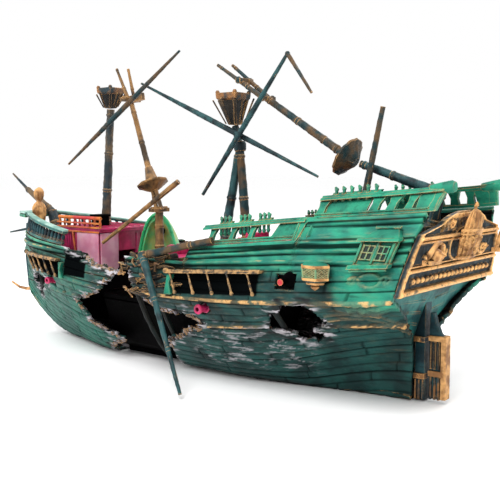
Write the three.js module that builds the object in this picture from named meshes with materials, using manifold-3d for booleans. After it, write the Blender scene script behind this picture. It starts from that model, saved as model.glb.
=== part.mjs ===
// A broken galleon for an aquarium: a stern section with a black hold under it, and a bow section
// that air lifts about a pin across the waist. Millimetres, +Z up, bow towards -X, port side
// towards -Y. The origin is on the flat underside of the hold, amidships.
import * as THREE from 'three';
import { mergeVertices } from 'three/addons/utils/BufferGeometryUtils.js';
import Module from 'manifold-3d';

const wasm = await Module();
wasm.setup();

// ---- driving dimensions ----
const keelLength = 168;
const halfBeam = 37;
const shellWall = 1.8;
const gap = 0.3;
const waleRise = 31;
const tumblehome = 0.43;
const keelHalfWidth = 3;
const keelDepth = 3.4;
const holdHalfWidth = 9.3;
const holdHeight = 24;
const deckWall = 1.6;
const quarterDeckTop = 44;
const bowDeckTop = 45;

const sternX = keelLength / 2;
const forefootX = -keelLength / 2;
const hullAftX = sternX - 4;
const stemX = forefootX - 40;
const holdForeX = -48;
const holdAftX = 18;
const waistX = 8;
const poopX = 52;
const pivot = new THREE.Vector3(-30, 0, 36);
const pivotRadius = 1.5;
const port = -1;
const starboard = 1;

const paint = {
  teal: [0x2e9c7c, 0.6, 0.1], darkTeal: [0x1f4a48, 0.6, 0.1], slate: [0x3f5f60, 0.6, 0.1],
  gold: [0xc98a4a, 0.45, 0.5], black: [0x0a0808, 0.5, 0.0], pink: [0xb8184e, 0.4, 0.0],
  green: [0x3bbf7a, 0.35, 0.0], mast: [0xa67c50, 0.6, 0.2], steel: [0x9a9a98, 0.35, 0.9],
  stone: [0x77726a, 0.9, 0.0],
};

const ship = new THREE.Group();

// ---- small tools ----
const v3 = (x, y, z) => new THREE.Vector3(x, y, z);
const smooth = THREE.MathUtils.smoothstep;
const lerp = THREE.MathUtils.lerp;

function evenly(from, to, steps) {
  return Array.from({ length: steps + 1 }, (_, i) => lerp(from, to, i / steps));
}

// A closed solid as a manifold, turned right side out if its winding came out inverted.
function toSolid(geometry) {
  const bare = geometry.clone();
  bare.deleteAttribute('normal');
  bare.deleteAttribute('uv');
  const merged = mergeVertices(bare, 1e-4);
  const vertProperties = new Float32Array(merged.attributes.position.array);
  const triVerts = new Uint32Array(merged.index.array);
  if (signedVolume(vertProperties, triVerts) < 0) {
    for (let i = 0; i < triVerts.length; i += 3) {
      [triVerts[i], triVerts[i + 1]] = [triVerts[i + 1], triVerts[i]];
    }
  }
  return new wasm.Manifold(new wasm.Mesh({ numProp: 3, vertProperties, triVerts }));
}

function signedVolume(points, triangles) {
  const corner = (i) => v3(points[3 * i], points[3 * i + 1], points[3 * i + 2]);
  let volume = 0;
  for (let i = 0; i < triangles.length; i += 3) {
    const [a, b, c] = [corner(triangles[i]), corner(triangles[i + 1]), corner(triangles[i + 2])];
    volume += a.dot(b.cross(c)) / 6;
  }
  return volume;
}

const join = (...pieces) => pieces.map(toSolid).reduce((whole, piece) => whole.add(piece));
const cut = (solid, ...tools) => tools.map(toSolid).reduce((rest, tool) => rest.subtract(tool), solid);
const mirrored = (half) => [...half, ...half.slice().reverse().map(([x, y]) => [x, -y])];

function addPart(name, solid, look) {
  const mesh = solid.getMesh();
  const corners = new Float32Array(mesh.vertProperties);
  const geometry = new THREE.BufferGeometry();
  geometry.setAttribute('position', new THREE.BufferAttribute(corners, 3));
  geometry.setIndex(new THREE.BufferAttribute(new Uint32Array(mesh.triVerts), 1));
  geometry.computeVertexNormals();
  const [color, roughness, metalness] = look;
  const material = new THREE.MeshStandardMaterial({ color, roughness, metalness });
  const part = new THREE.Mesh(geometry, material);
  part.name = name;
  ship.add(part);
}

// A skin through equal rings of points, closed at both ends.
function loft(rings) {
  const size = rings[0].length;
  const position = rings.flat().flatMap((p) => [p.x, p.y, p.z]);
  const index = [];
  for (let r = 0; r + 1 < rings.length; r += 1) {
    for (let i = 0; i < size; i += 1) {
      const [a, b] = [r * size + i, r * size + ((i + 1) % size)];
      index.push(a, b, b + size, a, b + size, a + size);
    }
  }
  const last = (rings.length - 1) * size;
  for (const [p, q, r] of capTriangles(rings[0])) index.push(r, q, p);
  for (const [p, q, r] of capTriangles(rings[rings.length - 1])) {
    index.push(last + p, last + q, last + r);
  }
  const geometry = new THREE.BufferGeometry();
  geometry.setAttribute('position', new THREE.Float32BufferAttribute(position, 3));
  geometry.setIndex(index);
  return geometry;
}

// Triangles over a ring, wound the way the ring runs, in the plane the ring lies nearest to.
function capTriangles(ring) {
  const normal = v3(0, 0, 0);
  ring.forEach((p, i) => normal.add(p.clone().cross(ring[(i + 1) % ring.length])));
  normal.normalize();
  const helper = Math.abs(normal.z) > 0.9 ? v3(1, 0, 0) : v3(0, 0, 1);
  const across = helper.clone().cross(normal).normalize();
  const along = normal.clone().cross(across);
  const flat = ring.map((p) => new THREE.Vector2(p.dot(across), p.dot(along)));
  return THREE.ShapeUtils.triangulateShape(flat, []);
}

// A box-section bar between two points, its flat sides upright.
function bar(from, to, width, height) {
  const length = from.distanceTo(to);
  const box = new THREE.BoxGeometry(length, width, height);
  const run = to.clone().sub(from).normalize();
  const side = Math.abs(run.z) > 0.99 ? v3(0, 1, 0) : v3(0, 0, 1).cross(run).normalize();
  const up = run.clone().cross(side);
  const place = new THREE.Matrix4().makeBasis(run, side, up).setPosition(from.clone().lerp(to, 0.5));
  return box.applyMatrix4(place);
}

// A round rod between two points, tapering from one radius to the other.
function rod(from, to, radius, endRadius = radius, sides = 8) {
  const run = to.clone().sub(from);
  const cylinder = new THREE.CylinderGeometry(endRadius, radius, run.length(), sides);
  const turn = new THREE.Quaternion().setFromUnitVectors(v3(0, 1, 0), run.clone().normalize());
  cylinder.applyQuaternion(turn);
  const middle = from.clone().lerp(to, 0.5);
  return cylinder.translate(middle.x, middle.y, middle.z);
}

function block(x0, x1, y0, y1, z0, z1) {
  const box = new THREE.BoxGeometry(x1 - x0, Math.abs(y1 - y0), z1 - z0);
  return box.translate((x0 + x1) / 2, (y0 + y1) / 2, (z0 + z1) / 2);
}

// A flat outline in X and Z, standing from y0 to y1.
function upright(points, y0, y1) {
  return loft([y0, y1].map((y) => points.map(([x, z]) => v3(x, y, z))));
}

// A flat outline in X and Y, lying from z0 to z1.
function lying(points, z0, z1) {
  return loft([z0, z1].map((z) => points.map(([x, y]) => v3(x, y, z))));
}

// A round profile [radius, distance] turned about the line that runs from a point in a direction.
function turned(profile, at, sides = 10, direction = v3(0, 0, 1)) {
  const points = profile.map(([r, h]) => new THREE.Vector2(r, h));
  const lathe = new THREE.LatheGeometry(points, sides);
  lathe.applyQuaternion(new THREE.Quaternion().setFromUnitVectors(v3(0, 1, 0), direction));
  return lathe.translate(at.x, at.y, at.z);
}

// A yard: thickest in the middle, and fined away to both ends.
function yard(from, to, waist = 1.08, tip = 0.45) {
  const length = from.distanceTo(to);
  const fore = [[0, 0], [tip, 0], [waist, 0.4 * length]];
  const aft = [[waist, 0.6 * length], [tip, length], [0, length]];
  return turned([...fore, ...aft], from, 8, to.clone().sub(from).normalize());
}

// A broken edge: splinters along a line of points, each pushed to one side by a repeating rule.
function splintered(points, teeth, depth) {
  const edge = [];
  points.forEach(([x, z], i) => {
    edge.push([x, z]);
    if (i + 1 === points.length) return;
    const [nx, nz] = points[i + 1];
    for (let k = 1; k < teeth; k += 1) {
      const reach = depth * Math.sin(7.3 * (i + 1) + 4.1 * k) * (k % 2 === 0 ? 1 : -1);
      edge.push([lerp(x, nx, k / teeth) + reach, lerp(z, nz, k / teeth)]);
    }
  });
  return edge;
}

// ---- hull form ----
const foreRun = (x) => Math.max(0, (20 - x) / 148);
const aftRun = (x) => Math.max(0, (x - 20) / 72);
const maxHalfBreadth = (x) => halfBeam * (1 - foreRun(x) ** 3.4) - 4 * aftRun(x) ** 2;
const waleHeight = (x) => waleRise + (x > 0 ? 8 * (x / 90) ** 2 : 6 * (x / 100) ** 2);
const keelLine = (x) => 20 * Math.max(0, (forefootX - x) / 40) ** 2;
const slotHalfWidth = (x) => keelHalfWidth + gap + (holdHalfWidth - keelHalfWidth) * slotFade(x);
const slotFade = (x) => (x > holdAftX ? 1 - smooth(x, holdAftX, holdAftX + 30) : smooth(x, -49, -48.2));
const floorFullness = (x) => (x > 20 ? 1 - smooth(x, 20, hullAftX) : smooth(x, -92, -46));
const floorHalfWidth = (x) => lerp(keelHalfWidth + 1.2, 13, floorFullness(x));
const bilgeFullness = (x) => 0.62 + 2.4 * (Math.max(0, x - 10) / 70) ** 2 + 0.5 * foreRun(x) ** 4;

function halfBreadth(x, z) {
  const wale = waleHeight(x);
  const widest = Math.max(maxHalfBreadth(x), keelHalfWidth + 1.4);
  if (z >= wale) return widest * (1 - tumblehome * ((z - wale) / 32.5) ** 1.8);
  const up = Math.max(0, (z - keelLine(x)) / (wale - keelLine(x)));
  const floor = Math.min(floorHalfWidth(x), widest);
  return floor + (widest - floor) * up ** bilgeFullness(x);
}

// The counter: the stern leans aft as it rises.
function counterShift(x, z) {
  const lean = z < 38 ? 9 * (Math.max(0, z) / 38) ** 2 : 9 + 0.235 * (z - 38);
  return lean * smooth(x, 45, hullAftX);
}

// Top edge of the planking, below the open rails.
function plankTop(x) {
  const quarter = lerp(48.5, 53, (x - waistX) / (poopX - waistX));
  const poop = lerp(59.5, 63, (x - poopX) / (hullAftX - poopX));
  const bow = lerp(44.2, 46.6, (-60 - x) / 60);
  if (x < -60) return bow;
  const waistToQuarter = lerp(43.5, quarter, smooth(x, waistX - 1, waistX + 1));
  return lerp(waistToQuarter, poop, smooth(x, poopX - 1, poopX + 1));
}

const quarterRailTop = (x) => lerp(54, 59, (x - waistX) / 46);
const poopRailTop = (x) => lerp(65.2, 69.5, (x - poopX) / 30);

function sectionPoints(x) {
  const base = keelLine(x);
  const wale = waleHeight(x);
  const top = plankTop(x);
  const low = [0, 0.04, 0.12, 0.25, 0.42, 0.62, 0.82, 1].map((t) => lerp(base, wale, t));
  const high = [0.33, 0.66, 1].map((t) => lerp(wale, top, t));
  const outer = [...low, ...high].map((z) => new THREE.Vector2(halfBreadth(x, z), z));
  return [new THREE.Vector2(slotHalfWidth(x), base), ...outer];
}

function sectionInside(outer) {
  const inner = outer.map((p, i) => {
    const before = outer[Math.max(0, i - 1)];
    const after = outer[Math.min(outer.length - 1, i + 1)];
    const run = after.clone().sub(before).normalize();
    return new THREE.Vector2(p.x - run.y * shellWall, p.y + run.x * shellWall);
  });
  const lip = outer[outer.length - 1];
  inner[0].set(outer[0].x, outer[0].y + shellWall);
  inner[inner.length - 1].set(lip.x - shellWall, lip.y);
  const fan = 0.03;
  inner.forEach((p, i) => { p.x = Math.max(p.x, outer[0].x + fan * i); });
  return inner;
}

function hullShell(xs, side) {
  return loft(xs.map((x) => {
    const outer = sectionPoints(x);
    const ring = [...outer, ...sectionInside(outer).reverse()];
    return ring.map((p) => v3(x + counterShift(x, p.y), side * p.x, p.y));
  }));
}

// A strip lying on the hull side between two lines, from inside the skin to its own thickness.
function sideStrip(xs, lowZ, highZ, depth, proud, side) {
  return loft(xs.map((x) => {
    const corners = [[lowZ(x), -depth], [lowZ(x), proud], [highZ(x), proud], [highZ(x), -depth]];
    return corners.map(([z, out]) => v3(x + counterShift(x, z), side * (halfBreadth(x, z) + out), z));
  }));
}

function onHull(x, z, out, side) {
  return v3(x + counterShift(x, z), side * (halfBreadth(x, z) + out), z);
}

// A deck that fills the hull between two stations at one height.
function deckPlate(x0, x1, top) {
  const inset = shellWall + gap + 0.5;
  const edge = (x) => Math.min(halfBreadth(x, top), halfBreadth(x, top - deckWall)) - inset;
  return lying(mirrored(evenly(x0, x1, 8).map((x) => [x, edge(x)])), top - deckWall, top);
}

// ---- hold, ballast and air ----
const holdWall = 2;
const holdWidest = 24;

function holdHalf(x, z) {
  return Math.min(holdHalfWidth + 0.62 * (halfBreadth(x, z) - holdHalfWidth), holdWidest);
}

// Half a section of the hold: a straight sole between the hull's bottom planks, then a round side.
function holdSection(x, wall) {
  const sole = holdHalfWidth - gap - wall;
  const foot = [[sole, wall], [sole, shellWall + gap + wall]];
  const side = [6, 11, 17, holdHeight + wall / 2].map((z) => [holdHalf(x, z) - wall, z]);
  const right = [...foot, ...side].map(([y, z]) => v3(x, y, z));
  return [...right, ...right.slice().reverse().map((p) => v3(p.x, -p.y, p.z))];
}

function addHold() {
  const skin = loft(evenly(holdForeX, holdAftX - gap, 8).map((x) => holdSection(x, 0)));
  const roomXs = evenly(holdForeX + holdWall, holdAftX - gap - holdWall, 6);
  const room = loft(roomXs.map((x) => holdSection(x, holdWall)));
  const nippleHole = rod(v3(-37, 8, 8), v3(-37, 40, 8), 2.6 + gap);
  const tubeHole = rod(v3(-60, 0, 9), v3(-40, 0, 9), 1.6 + gap);
  addPart('hold_hull', cut(toSolid(skin), room, nippleHole, tubeHole), paint.black);

  const slab = block(-30, holdAftX - 4, -6.5, 6.5, holdWall + gap, 9);
  addPart('ballast_slab', toSolid(slab), paint.stone);
}

// A rod on the pivot's axis, as long on one side of the middle as on the other.
function pivotRod(halfLength, radius) {
  const [from, to] = [port, starboard].map((side) => v3(pivot.x, side * halfLength, pivot.z));
  return rod(from, to, radius, radius, 12);
}

// Points round the pivot's axis, from one angle to another.
function pivotArc(radius, start, end) {
  return evenly(start, end, 6).map((a) => [pivot.x + radius * Math.cos(a), pivot.z + radius * Math.sin(a)]);
}

function addHoldCover() {
  const floor = holdHeight + gap;
  const top = floor + 1.7;
  const edge = evenly(holdForeX, holdAftX, 6).map((x) => [x, holdHalf(x, holdHeight)]);
  const plate = lying(mirrored(edge), floor, top);
  const lugFoot = [[pivot.x - 5, floor + 0.2], [pivot.x + 5, floor + 0.2]];
  const lug = [...lugFoot, ...pivotArc(3.6, 0, Math.PI)];
  const lugs = [port, starboard].map((side) => upright(lug, side * 18, side * 20.6));
  const pinHoles = pivotRod(30, pivotRadius + gap);
  const hatch = block(-22, -8, -6, 6, floor - 1, top + 1);
  addPart('hold_cover', cut(join(plate, ...lugs), pinHoles, hatch), paint.black);
  addPart('pivot_pin', toSolid(pivotRod(22.5, pivotRadius)), paint.steel);
}

function addAirLine() {
  const bore = 1.1;
  const barrel = [[bore, 0], [2.6, 0], [2.6, 8], [3.6, 8], [3.6, 9.5], [1.9, 9.5]];
  const barb = [[1.9, 12.5], [2.5, 12.6], [1.7, 15.5], [bore, 15.5], [bore, 0]];
  const nipple = turned([...barrel, ...barb], v3(-37, 14, 8), 12, v3(0, 1, 0));
  addPart('air_nipple', toSolid(nipple), paint.black);

  const bends = [v3(-37, 12.5, 8), v3(-37.5, 7, 8.3), v3(-41, 1.5, 9), v3(-47, 0, 9), v3(-60, 0, 9)];
  const route = new THREE.CatmullRomCurve3(bends);
  const ring = (radius) => new THREE.Shape().absarc(0, 0, radius, 0, 2 * Math.PI);
  const wall = ring(1.6);
  wall.holes.push(ring(0.9));
  const tube = new THREE.ExtrudeGeometry(wall, { steps: 10, curveSegments: 2, extrudePath: route });
  addPart('air_tube', toSolid(tube), paint.black);
}

// ---- stern section ----
const sternStations = [-26, -18, -10, -2, waistX - 1, waistX + 1, 18, 27, 36, 44, poopX - 1, poopX + 1,
  60, 67, 74, hullAftX];

const sternBreak = {
  [port]: [[-25, 46], [-20, 38], [-16, 31], [-6, 25.2], [9.5, 24.3], [12.6, 22.4], [10.8, 19.4], [4.8, 18.7],
    [-1.3, 14.9], [-8.7, 12.4], [-9.3, 8], [-12, -2]],
  [starboard]: [[-20, 46], [-24, 38], [-17, 30], [-20, 22], [-15, 12], [-21, -2]],
};
const sternHole = {
  [port]: [[40, 22.6], [43.7, 28.3], [46.6, 29.1], [49.9, 32.4], [56.3, 33.1], [58.5, 27.2], [53.6, 22],
    [55.8, 20.8], [52.6, 18.9], [49.2, 18.6], [48, 20.5], [45, 22.2]],
  [starboard]: [[24, 24], [34, 27], [43, 23], [41, 16], [30, 14]],
};
const mouldingHeight = (x) => 46.2 + 0.11 * (x - waistX);

function addSternHull(side, name) {
  const shell = hullShell(sternStations, side);
  const waleXs = evenly(-12, hullAftX, 12);
  const wale = sideStrip(waleXs, (x) => waleHeight(x) - 0.6, (x) => waleHeight(x) + 0.9, 0.8, 0.9, side);
  const mouldingXs = evenly(waistX + 2, hullAftX, 10);
  const moulding = sideStrip(mouldingXs, mouldingHeight, (x) => mouldingHeight(x) + 1, 0.8, 0.8, side);
  const ahead = [[-60, 60], ...splintered(sternBreak[side], 3, 1), [-60, -5]];
  const cuts = [
    upright(ahead, side * -1, side * 60),
    upright(splintered(sternHole[side], 2, 0.8), side * 8, side * 60),
    upright([[48, 37.8], [53.6, 38.2], [53.6, 42.8], [48, 42.4]], side * 20, side * 60),
    upright([[14, 28], [19, 30.5], [20, 27.5], [16, 25.5]], side * 20, side * 60),
  ];
  addPart(name, cut(join(shell, wale, moulding), ...cuts), paint.teal);
}

function addSternFrames() {
  const half = (x) => slotHalfWidth(x) - gap;
  const keelEdge = evenly(holdAftX + gap, hullAftX - 0.5, 8).map((x) => [x, half(x)]);
  addPart('stern_keel', toSolid(lying(mirrored(keelEdge), 0, keelDepth)), paint.darkTeal);

  const postFore = hullAftX + gap - 0.1;
  const post = block(postFore, sternX, -2.2, 2.2, 0.2, 33);
  const straps = [7.4, 19.6].map((z) => block(postFore, sternX, -3, 3, z, z + 2.2));
  addPart('sternpost', join(post, ...straps), paint.gold);

  const levels = [4.5, 10, 16, 22, 28, 33, 37];
  const inset = shellWall + gap + 0.8;
  const edge = mirrored(levels.map((z) => [z, halfBreadth(hullAftX, z) - inset]));
  const sheet = (x) => edge.map(([z, y]) => v3(x + counterShift(hullAftX, z), y, z));
  const tuck = toSolid(loft([sheet(hullAftX - 4.2), sheet(hullAftX - 2.6)]));
  const postSlot = block(postFore - gap, sternX + gap, -3 - gap, 3 + gap, 0, 33 + gap);
  addPart('stern_tuck', cut(tuck, postSlot), paint.darkTeal);
}

function transomPoint(out, y, z) {
  return v3(hullAftX + gap + out + counterShift(hullAftX, z), y, z);
}

function addTransom() {
  const side = evenly(38.5, 56.8, 6).map((z) => [halfBreadth(hullAftX, z) - 0.4, z]);
  const shoulder = 0.35;
  const crownHalf = 16.5 / Math.cos(shoulder);
  const crownAngles = evenly(shoulder, Math.PI - shoulder, 8);
  const crown = crownAngles.map((a) => [crownHalf * Math.cos(a), 57.3 + 5.6 * Math.sin(a)]);
  const outline = [...side, ...crown, ...side.slice().reverse().map(([y, z]) => [-y, z])];
  const sheet = (out) => outline.map(([y, z]) => transomPoint(out, y, z));
  const panel = loft([sheet(0), sheet(2.2)]);
  const ledge = (z, half, deep) => bar(transomPoint(1.5, -half, z), transomPoint(1.5, half, z), deep, 1.3);
  const ledges = [ledge(39.3, 31.5, 4), ledge(46.5, 30.6, 3.4), ledge(54.8, 27.4, 3.4)];
  const beads = evenly(-26, 26, 12).map((y) => {
    const bead = new THREE.OctahedronGeometry(1.6, 0);
    const at = transomPoint(2.3, y, 42.8);
    return bead.translate(at.x, at.y, at.z);
  });
  addPart('transom_panel', join(panel, ...ledges, ...beads), paint.gold);

  const glass = [[0, 0], [4.6, 0], [5.6, 2], [5.9, 6.6], [5.2, 8.2], [5.7, 9.4]];
  const roof = [[4.6, 12.8], [2.6, 14.8], [0.9, 15.8], [1.4, 16.8], [0, 18]];
  const flatness = 0.6;
  const base = transomPoint(3.6, 0, 47.6);
  const lean = new THREE.Matrix4().makeShear(0, 0, 0, 0, 0.235, 0);
  const lantern = turned([...glass, ...roof], v3(0, 0, 0), 12).scale(flatness, 1, 1);
  const rearHalf = block(-9, 0, -9, 9, -1, 19);
  for (const form of [lantern, rearHalf]) form.applyMatrix4(lean).translate(base.x, base.y, base.z);
  addPart('transom_lantern', cut(toSolid(lantern), rearHalf), paint.gold);

  addTransomBracket('transom_bracket_port', port * 25.5, port);
  addTransomBracket('transom_bracket_starboard', starboard * 25.5, starboard);
}

function addTransomBracket(name, y, side) {
  const foot = bar(transomPoint(5.2, y - 3.6, 48.8), transomPoint(5.2, y + 3.6, 48.8), 3, 1.4);
  const stalk = bar(transomPoint(5.2, y, 48.2), transomPoint(5.2, y - side * 2.5, 53.4), 3, 1.5);
  const at = transomPoint(5.8, y, 50.6);
  const knob = new THREE.IcosahedronGeometry(2.4, 1).translate(at.x, at.y, at.z);
  addPart(name, join(foot, stalk, knob), paint.gold);
}

function addSternDecks() {
  const quarter = deckPlate(-16, poopX - 3, quarterDeckTop);
  const bulkhead = block(-9, -7.4, -26, 26, quarterDeckTop - 1, 47.5);
  const mastBench = block(11.4, 15, -5, 5, quarterDeckTop - 0.5, 52);
  const bitts = [21, 30, 39].map((x) => block(x, x + 2.4, -9, 9, quarterDeckTop - 0.5, 51));
  const crossPiece = block(21, 41, -3, 3, quarterDeckTop - 0.5, 47);
  addPart('quarter_deck', join(quarter, bulkhead, mastBench, ...bitts, crossPiece), paint.pink);

  const poop = deckPlate(poopX + 2, hullAftX + 5, 57.5);
  const front = block(poopX + 2, poopX + 3.6, -20, 20, 45, 57);
  addPart('poop_deck', join(poop, front), paint.slate);
}

// An open rail: a cap along the side, posts down to the planking and groups of pointed pins.
function openRail(xs, top, posts, pinXs, side) {
  const cap = sideStrip(xs, top, (x) => top(x) + 1.6, 2, 0.9, side);
  const foot = sideStrip(xs, (x) => plankTop(x) + gap, (x) => plankTop(x) + 1.5, 1.7, -0.1, side);
  const uprights = posts.map((x) => bar(onHull(x, plankTop(x) + 0.8, -0.9, side),
    onHull(x, top(x) + 0.8, -0.9, side), 1.5, 2));
  const pins = pinXs.map((x) => {
    const root = onHull(x, top(x) + 1, -0.6, side);
    return rod(root, root.clone().add(v3(0, 0, 3.2)), 0.8, 0.35, 4);
  });
  return join(cap, foot, ...uprights, ...pins);
}

function pinGroups(starts, each, step) {
  return starts.flatMap((x) => evenly(x, x + (each - 1) * step, each - 1));
}

function addSternRails(side, end) {
  const poopXs = evenly(poopX + 1.5, hullAftX + 1.5, 6);
  const poopPosts = [poopX + 2.5, 66, 73, hullAftX];
  const poopPins = pinGroups([56, 62.2, 68.4], 2, 2.9);
  addPart(`poop_rail_${end}`, openRail(poopXs, poopRailTop, poopPosts, poopPins, side), paint.teal);

  const quarterXs = [...evenly(waistX + 3.5, poopX - 1, 6), poopX];
  const quarterPins = pinGroups([18.4, 26.7, 34.7], 3, 1.75);
  const open = openRail(quarterXs, quarterRailTop, [15.9, 24.9, 32.9], quarterPins, side);
  const panelFoot = (x) => plankTop(x) + gap;
  const panelHead = (x) => (x < 42 ? panelFoot(x) + 2 : quarterRailTop(x) + 0.2);
  const panel = sideStrip([41.3, 43.3, 47, poopX - 1, poopX], panelFoot, panelHead, 1.7, -0.1, side);
  addPart(`quarter_rail_${end}`, open.add(toSolid(panel)), paint.teal);
}

// A channel: a ledge along the side on a row of slanted struts.
function channel(xs, height, reach, strutXs, drop, side) {
  const ledge = sideStrip(xs, height, (x) => height(x) + 1.5, -gap, reach, side);
  const struts = strutXs.map((x) => {
    const top = onHull(x, height(x) + 0.5, reach - 1.1, side);
    const foot = onHull(x + 1.6, height(x) - drop, 2.1, side);
    return bar(top, foot, 1.5, 1.5);
  });
  return join(ledge, ...struts);
}

const channelHeight = (x) => 39.4 + 0.07 * (x - 1.5);

function addSternChannel(side, end) {
  const solid = channel(evenly(1.5, 43, 6), channelHeight, 3, evenly(6.5, 38, 4), 6.5, side);
  addPart(`stern_channel_${end}`, solid, paint.gold);
}

// A six-sided lantern gallery hung on the side, with a knob under it.
function addQuarterLantern(side, end) {
  const centre = onHull(60.6, 44.6, 4.3, side);
  const levels = [[-3.4, 2.2], [-2.2, 3.9], [1.8, 4.3], [2.6, 3.4]];
  const rings = levels.map(([h, r]) => evenly(0, 5, 5).map((i) => {
    const a = i * Math.PI / 3;
    return v3(centre.x + 1.25 * r * Math.cos(a), centre.y + r * Math.sin(a), centre.z + h);
  }));
  const above = (h) => centre.clone().add(v3(0, 0, h));
  const knob = rod(above(-5.6), above(-3), 0.6, 1.7, 6);
  const rims = [-2.4, 1.4].map((h) => rod(above(h), above(h + 0.9), 4.3, 4.3, 6));
  const solid = join(loft(rings), knob, ...rims);
  const reach = upright([[50, 20], [80, 20], [80, 60], [50, 60]], side * 10, centre.y - side * 3.6);
  addPart(`quarter_lantern_${end}`, cut(solid, reach), paint.gold);
}

// A window gallery: a shallow box on the side with a sloping roof and two slanted windows.
function addQuarterGallery(side, end) {
  const xs = evenly(68, 77, 3);
  const standOff = 1.3;
  const roofZ = (x) => 54.6 + 0.06 * (x - 68);
  const sillZ = (x) => 47.2 + 0.12 * (x - 68);
  const body = sideStrip(xs, sillZ, roofZ, -standOff, 3.2, side);
  const roof = sideStrip(xs, (x) => roofZ(x) - 0.2, (x) => roofZ(x) + 1.3, -standOff, 4.2, side);
  const sill = sideStrip(xs, (x) => sillZ(x) - 1.1, (x) => sillZ(x) + 0.2, -standOff, 4, side);
  const panes = [69.4, 72.6].map((x) => sideStrip([x, x + 2.3], () => 49.6, () => 53.2, -2.4, 5, side));
  addPart(`quarter_gallery_${end}`, cut(join(body, roof, sill), ...panes), paint.teal);
}

function addCannon(name, x, z, side, length) {
  const breech = onHull(x, z, -5, side);
  const muzzle = onHull(x, z, length, side);
  const swell = muzzle.clone().lerp(breech, 0.12);
  addPart(name, join(rod(breech, muzzle, 1.7, 1.25, 8), rod(swell, muzzle, 1.7, 1.6, 8)), paint.pink);
}

function addRudder() {
  const fore = sternX + 0.8;
  const aft = sternX + 6.6;
  const shoulder = [[aft, 21.4], [aft - 1.8, 22.6], [aft - 2.9, 25.2], [fore + 2.4, 26]];
  const horn = [[fore + 1.6, 29.4], [fore + 0.3, 29.4], [fore, 24]];
  const blade = upright([[fore, 1], [aft, 1], ...shoulder, ...horn], -1.3, 1.3);
  const bands = [8.6, 20.2].map((z) => block(fore, aft + 0.4, -1.9, 1.9, z, z + 2));
  const back = block(aft - 1.4, aft + 0.5, -1.9, 1.9, 1.2, 21.4);
  addPart('rudder', join(blade, ...bands, back), paint.teal);
}

// ---- masts over the stern section ----
// A lookout top: a four-sided bowl widening upwards to a flat rim.
function mastTop(name, foot, rimCentre, half) {
  const square = (c, z, h) => mirrored([[-h, h], [h, h]]).map(([i, j]) => v3(c.x + i, c.y + j, z));
  const atRim = (below, h) => square(rimCentre, rimCentre.z - below, h);
  const bowl = loft([square(foot, foot.z, 1.7), atRim(2.6, half - 1)]);
  const rim = loft([atRim(2.8, half - 0.6), atRim(0, half)]);
  const tray = loft([atRim(1.8, half - 1.6), atRim(-1, half - 1)]);
  addPart(name, cut(join(bowl, rim), tray), paint.mast);
}

function addMainMast() {
  const collar = v3(4.8, 0, 84.3);
  const apex = v3(2.4, 0, 91.9);
  const feet = [-3.6, 8.4].map((x) => v3(x, 0, quarterDeckTop + 3 * gap));
  const legs = feet.map((foot) => rod(foot, collar, 1.9, 1.5));
  const pole = rod(v3(4.9, 0, 83), apex, 1.6, 1.3);
  const band = rod(v3(4.9, 0, 82.6), v3(4.7, 0, 86), 2.5, 2.5);
  addPart('main_mast', join(...legs, pole, band), paint.mast);
  mastTop('main_top', apex.clone().add(v3(0, 0, gap + 0.1)), v3(1.5, 0, 104.3), 4.8);
  addPart('main_yard', toSolid(yard(v3(-44.5, -3.3, 110.5), v3(42.5, -3.3, 73))), paint.mast);
}

function addFallenMizzen() {
  const heel = v3(84, 1.5, 57.5 + gap);
  const knee = v3(86.5, 1.5, 67.8);
  const dish = v3(54.7, 0, 78.4);
  const stump = rod(heel, knee, 1.7, 1.7);
  const fallen = rod(knee.clone().add(v3(1.4, 0, -0.3)), dish.clone().add(v3(3, 0, -1)), 1.8, 1.3);
  addPart('mizzen_mast', join(stump, fallen), paint.mast);

  const blockAt = v3(15.3, 0, 102.8);
  const run = blockAt.clone().sub(dish).normalize();
  const along = (distance) => dish.clone().addScaledVector(run, distance);
  addPart('mizzen_top', toSolid(rod(along(-1.2), along(3.2), 2.2, 7, 10)), paint.mast);

  const twins = [-2, 2].map((y) => rod(v3(16.5, y, 102), v3(-2.5 + y, y, 115), 1, 0.6, 6));
  const crosses = [v3(17.5, 0, 101.4), v3(7, 0, 108.5)].map((c) => crossTree(c, 4, 2.4, 1.6));
  const topmast = rod(along(3.2 + gap), blockAt, 1.5, 1.2);
  addPart('mizzen_topmast', join(topmast, ...twins, ...crosses), paint.mast);
  addPart('mizzen_lower_yard', toSolid(rod(v3(61.8, -3.4, 68.2), v3(67.8, -3.4, 96), 1.2, 0.8)), paint.mast);

  const peak = v3(30.9, -5.7, 115.9);
  const longLeg = yard(v3(-9.1, -5.7, 65.8), peak, 1.05, 0.6);
  const shortLeg = rod(peak.clone().add(v3(-0.3, 0, 0.4)), v3(41.2, -5.7, 101.8), 0.8, 0.5);
  addPart('mizzen_upper_yard', join(longLeg, shortLeg), paint.mast);
}

// A short beam lying athwart a mast.
function crossTree(centre, half, width, height) {
  const [from, to] = [port, starboard].map((side) => centre.clone().add(v3(0, side * half, 0)));
  return bar(from, to, width, height);
}

function addBrokenSpar() {
  const elbow = v3(-9, -38.5, 45);
  const tip = v3(19.8, -50, 1.6);
  const arm = rod(v3(19, -32.6, 51.4), elbow, 1.2, 1.2);
  const fallen = rod(elbow.clone().add(v3(-0.4, 0.2, 0.9)), tip, 1.3, 0.6);
  const stub = rod(v3(-7.5, -37.8, 45.3), v3(-6.5, -39.6, 40.8), 0.8, 0.8, 6);
  addPart('broken_spar', join(arm, fallen, stub), paint.mast);
}

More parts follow.
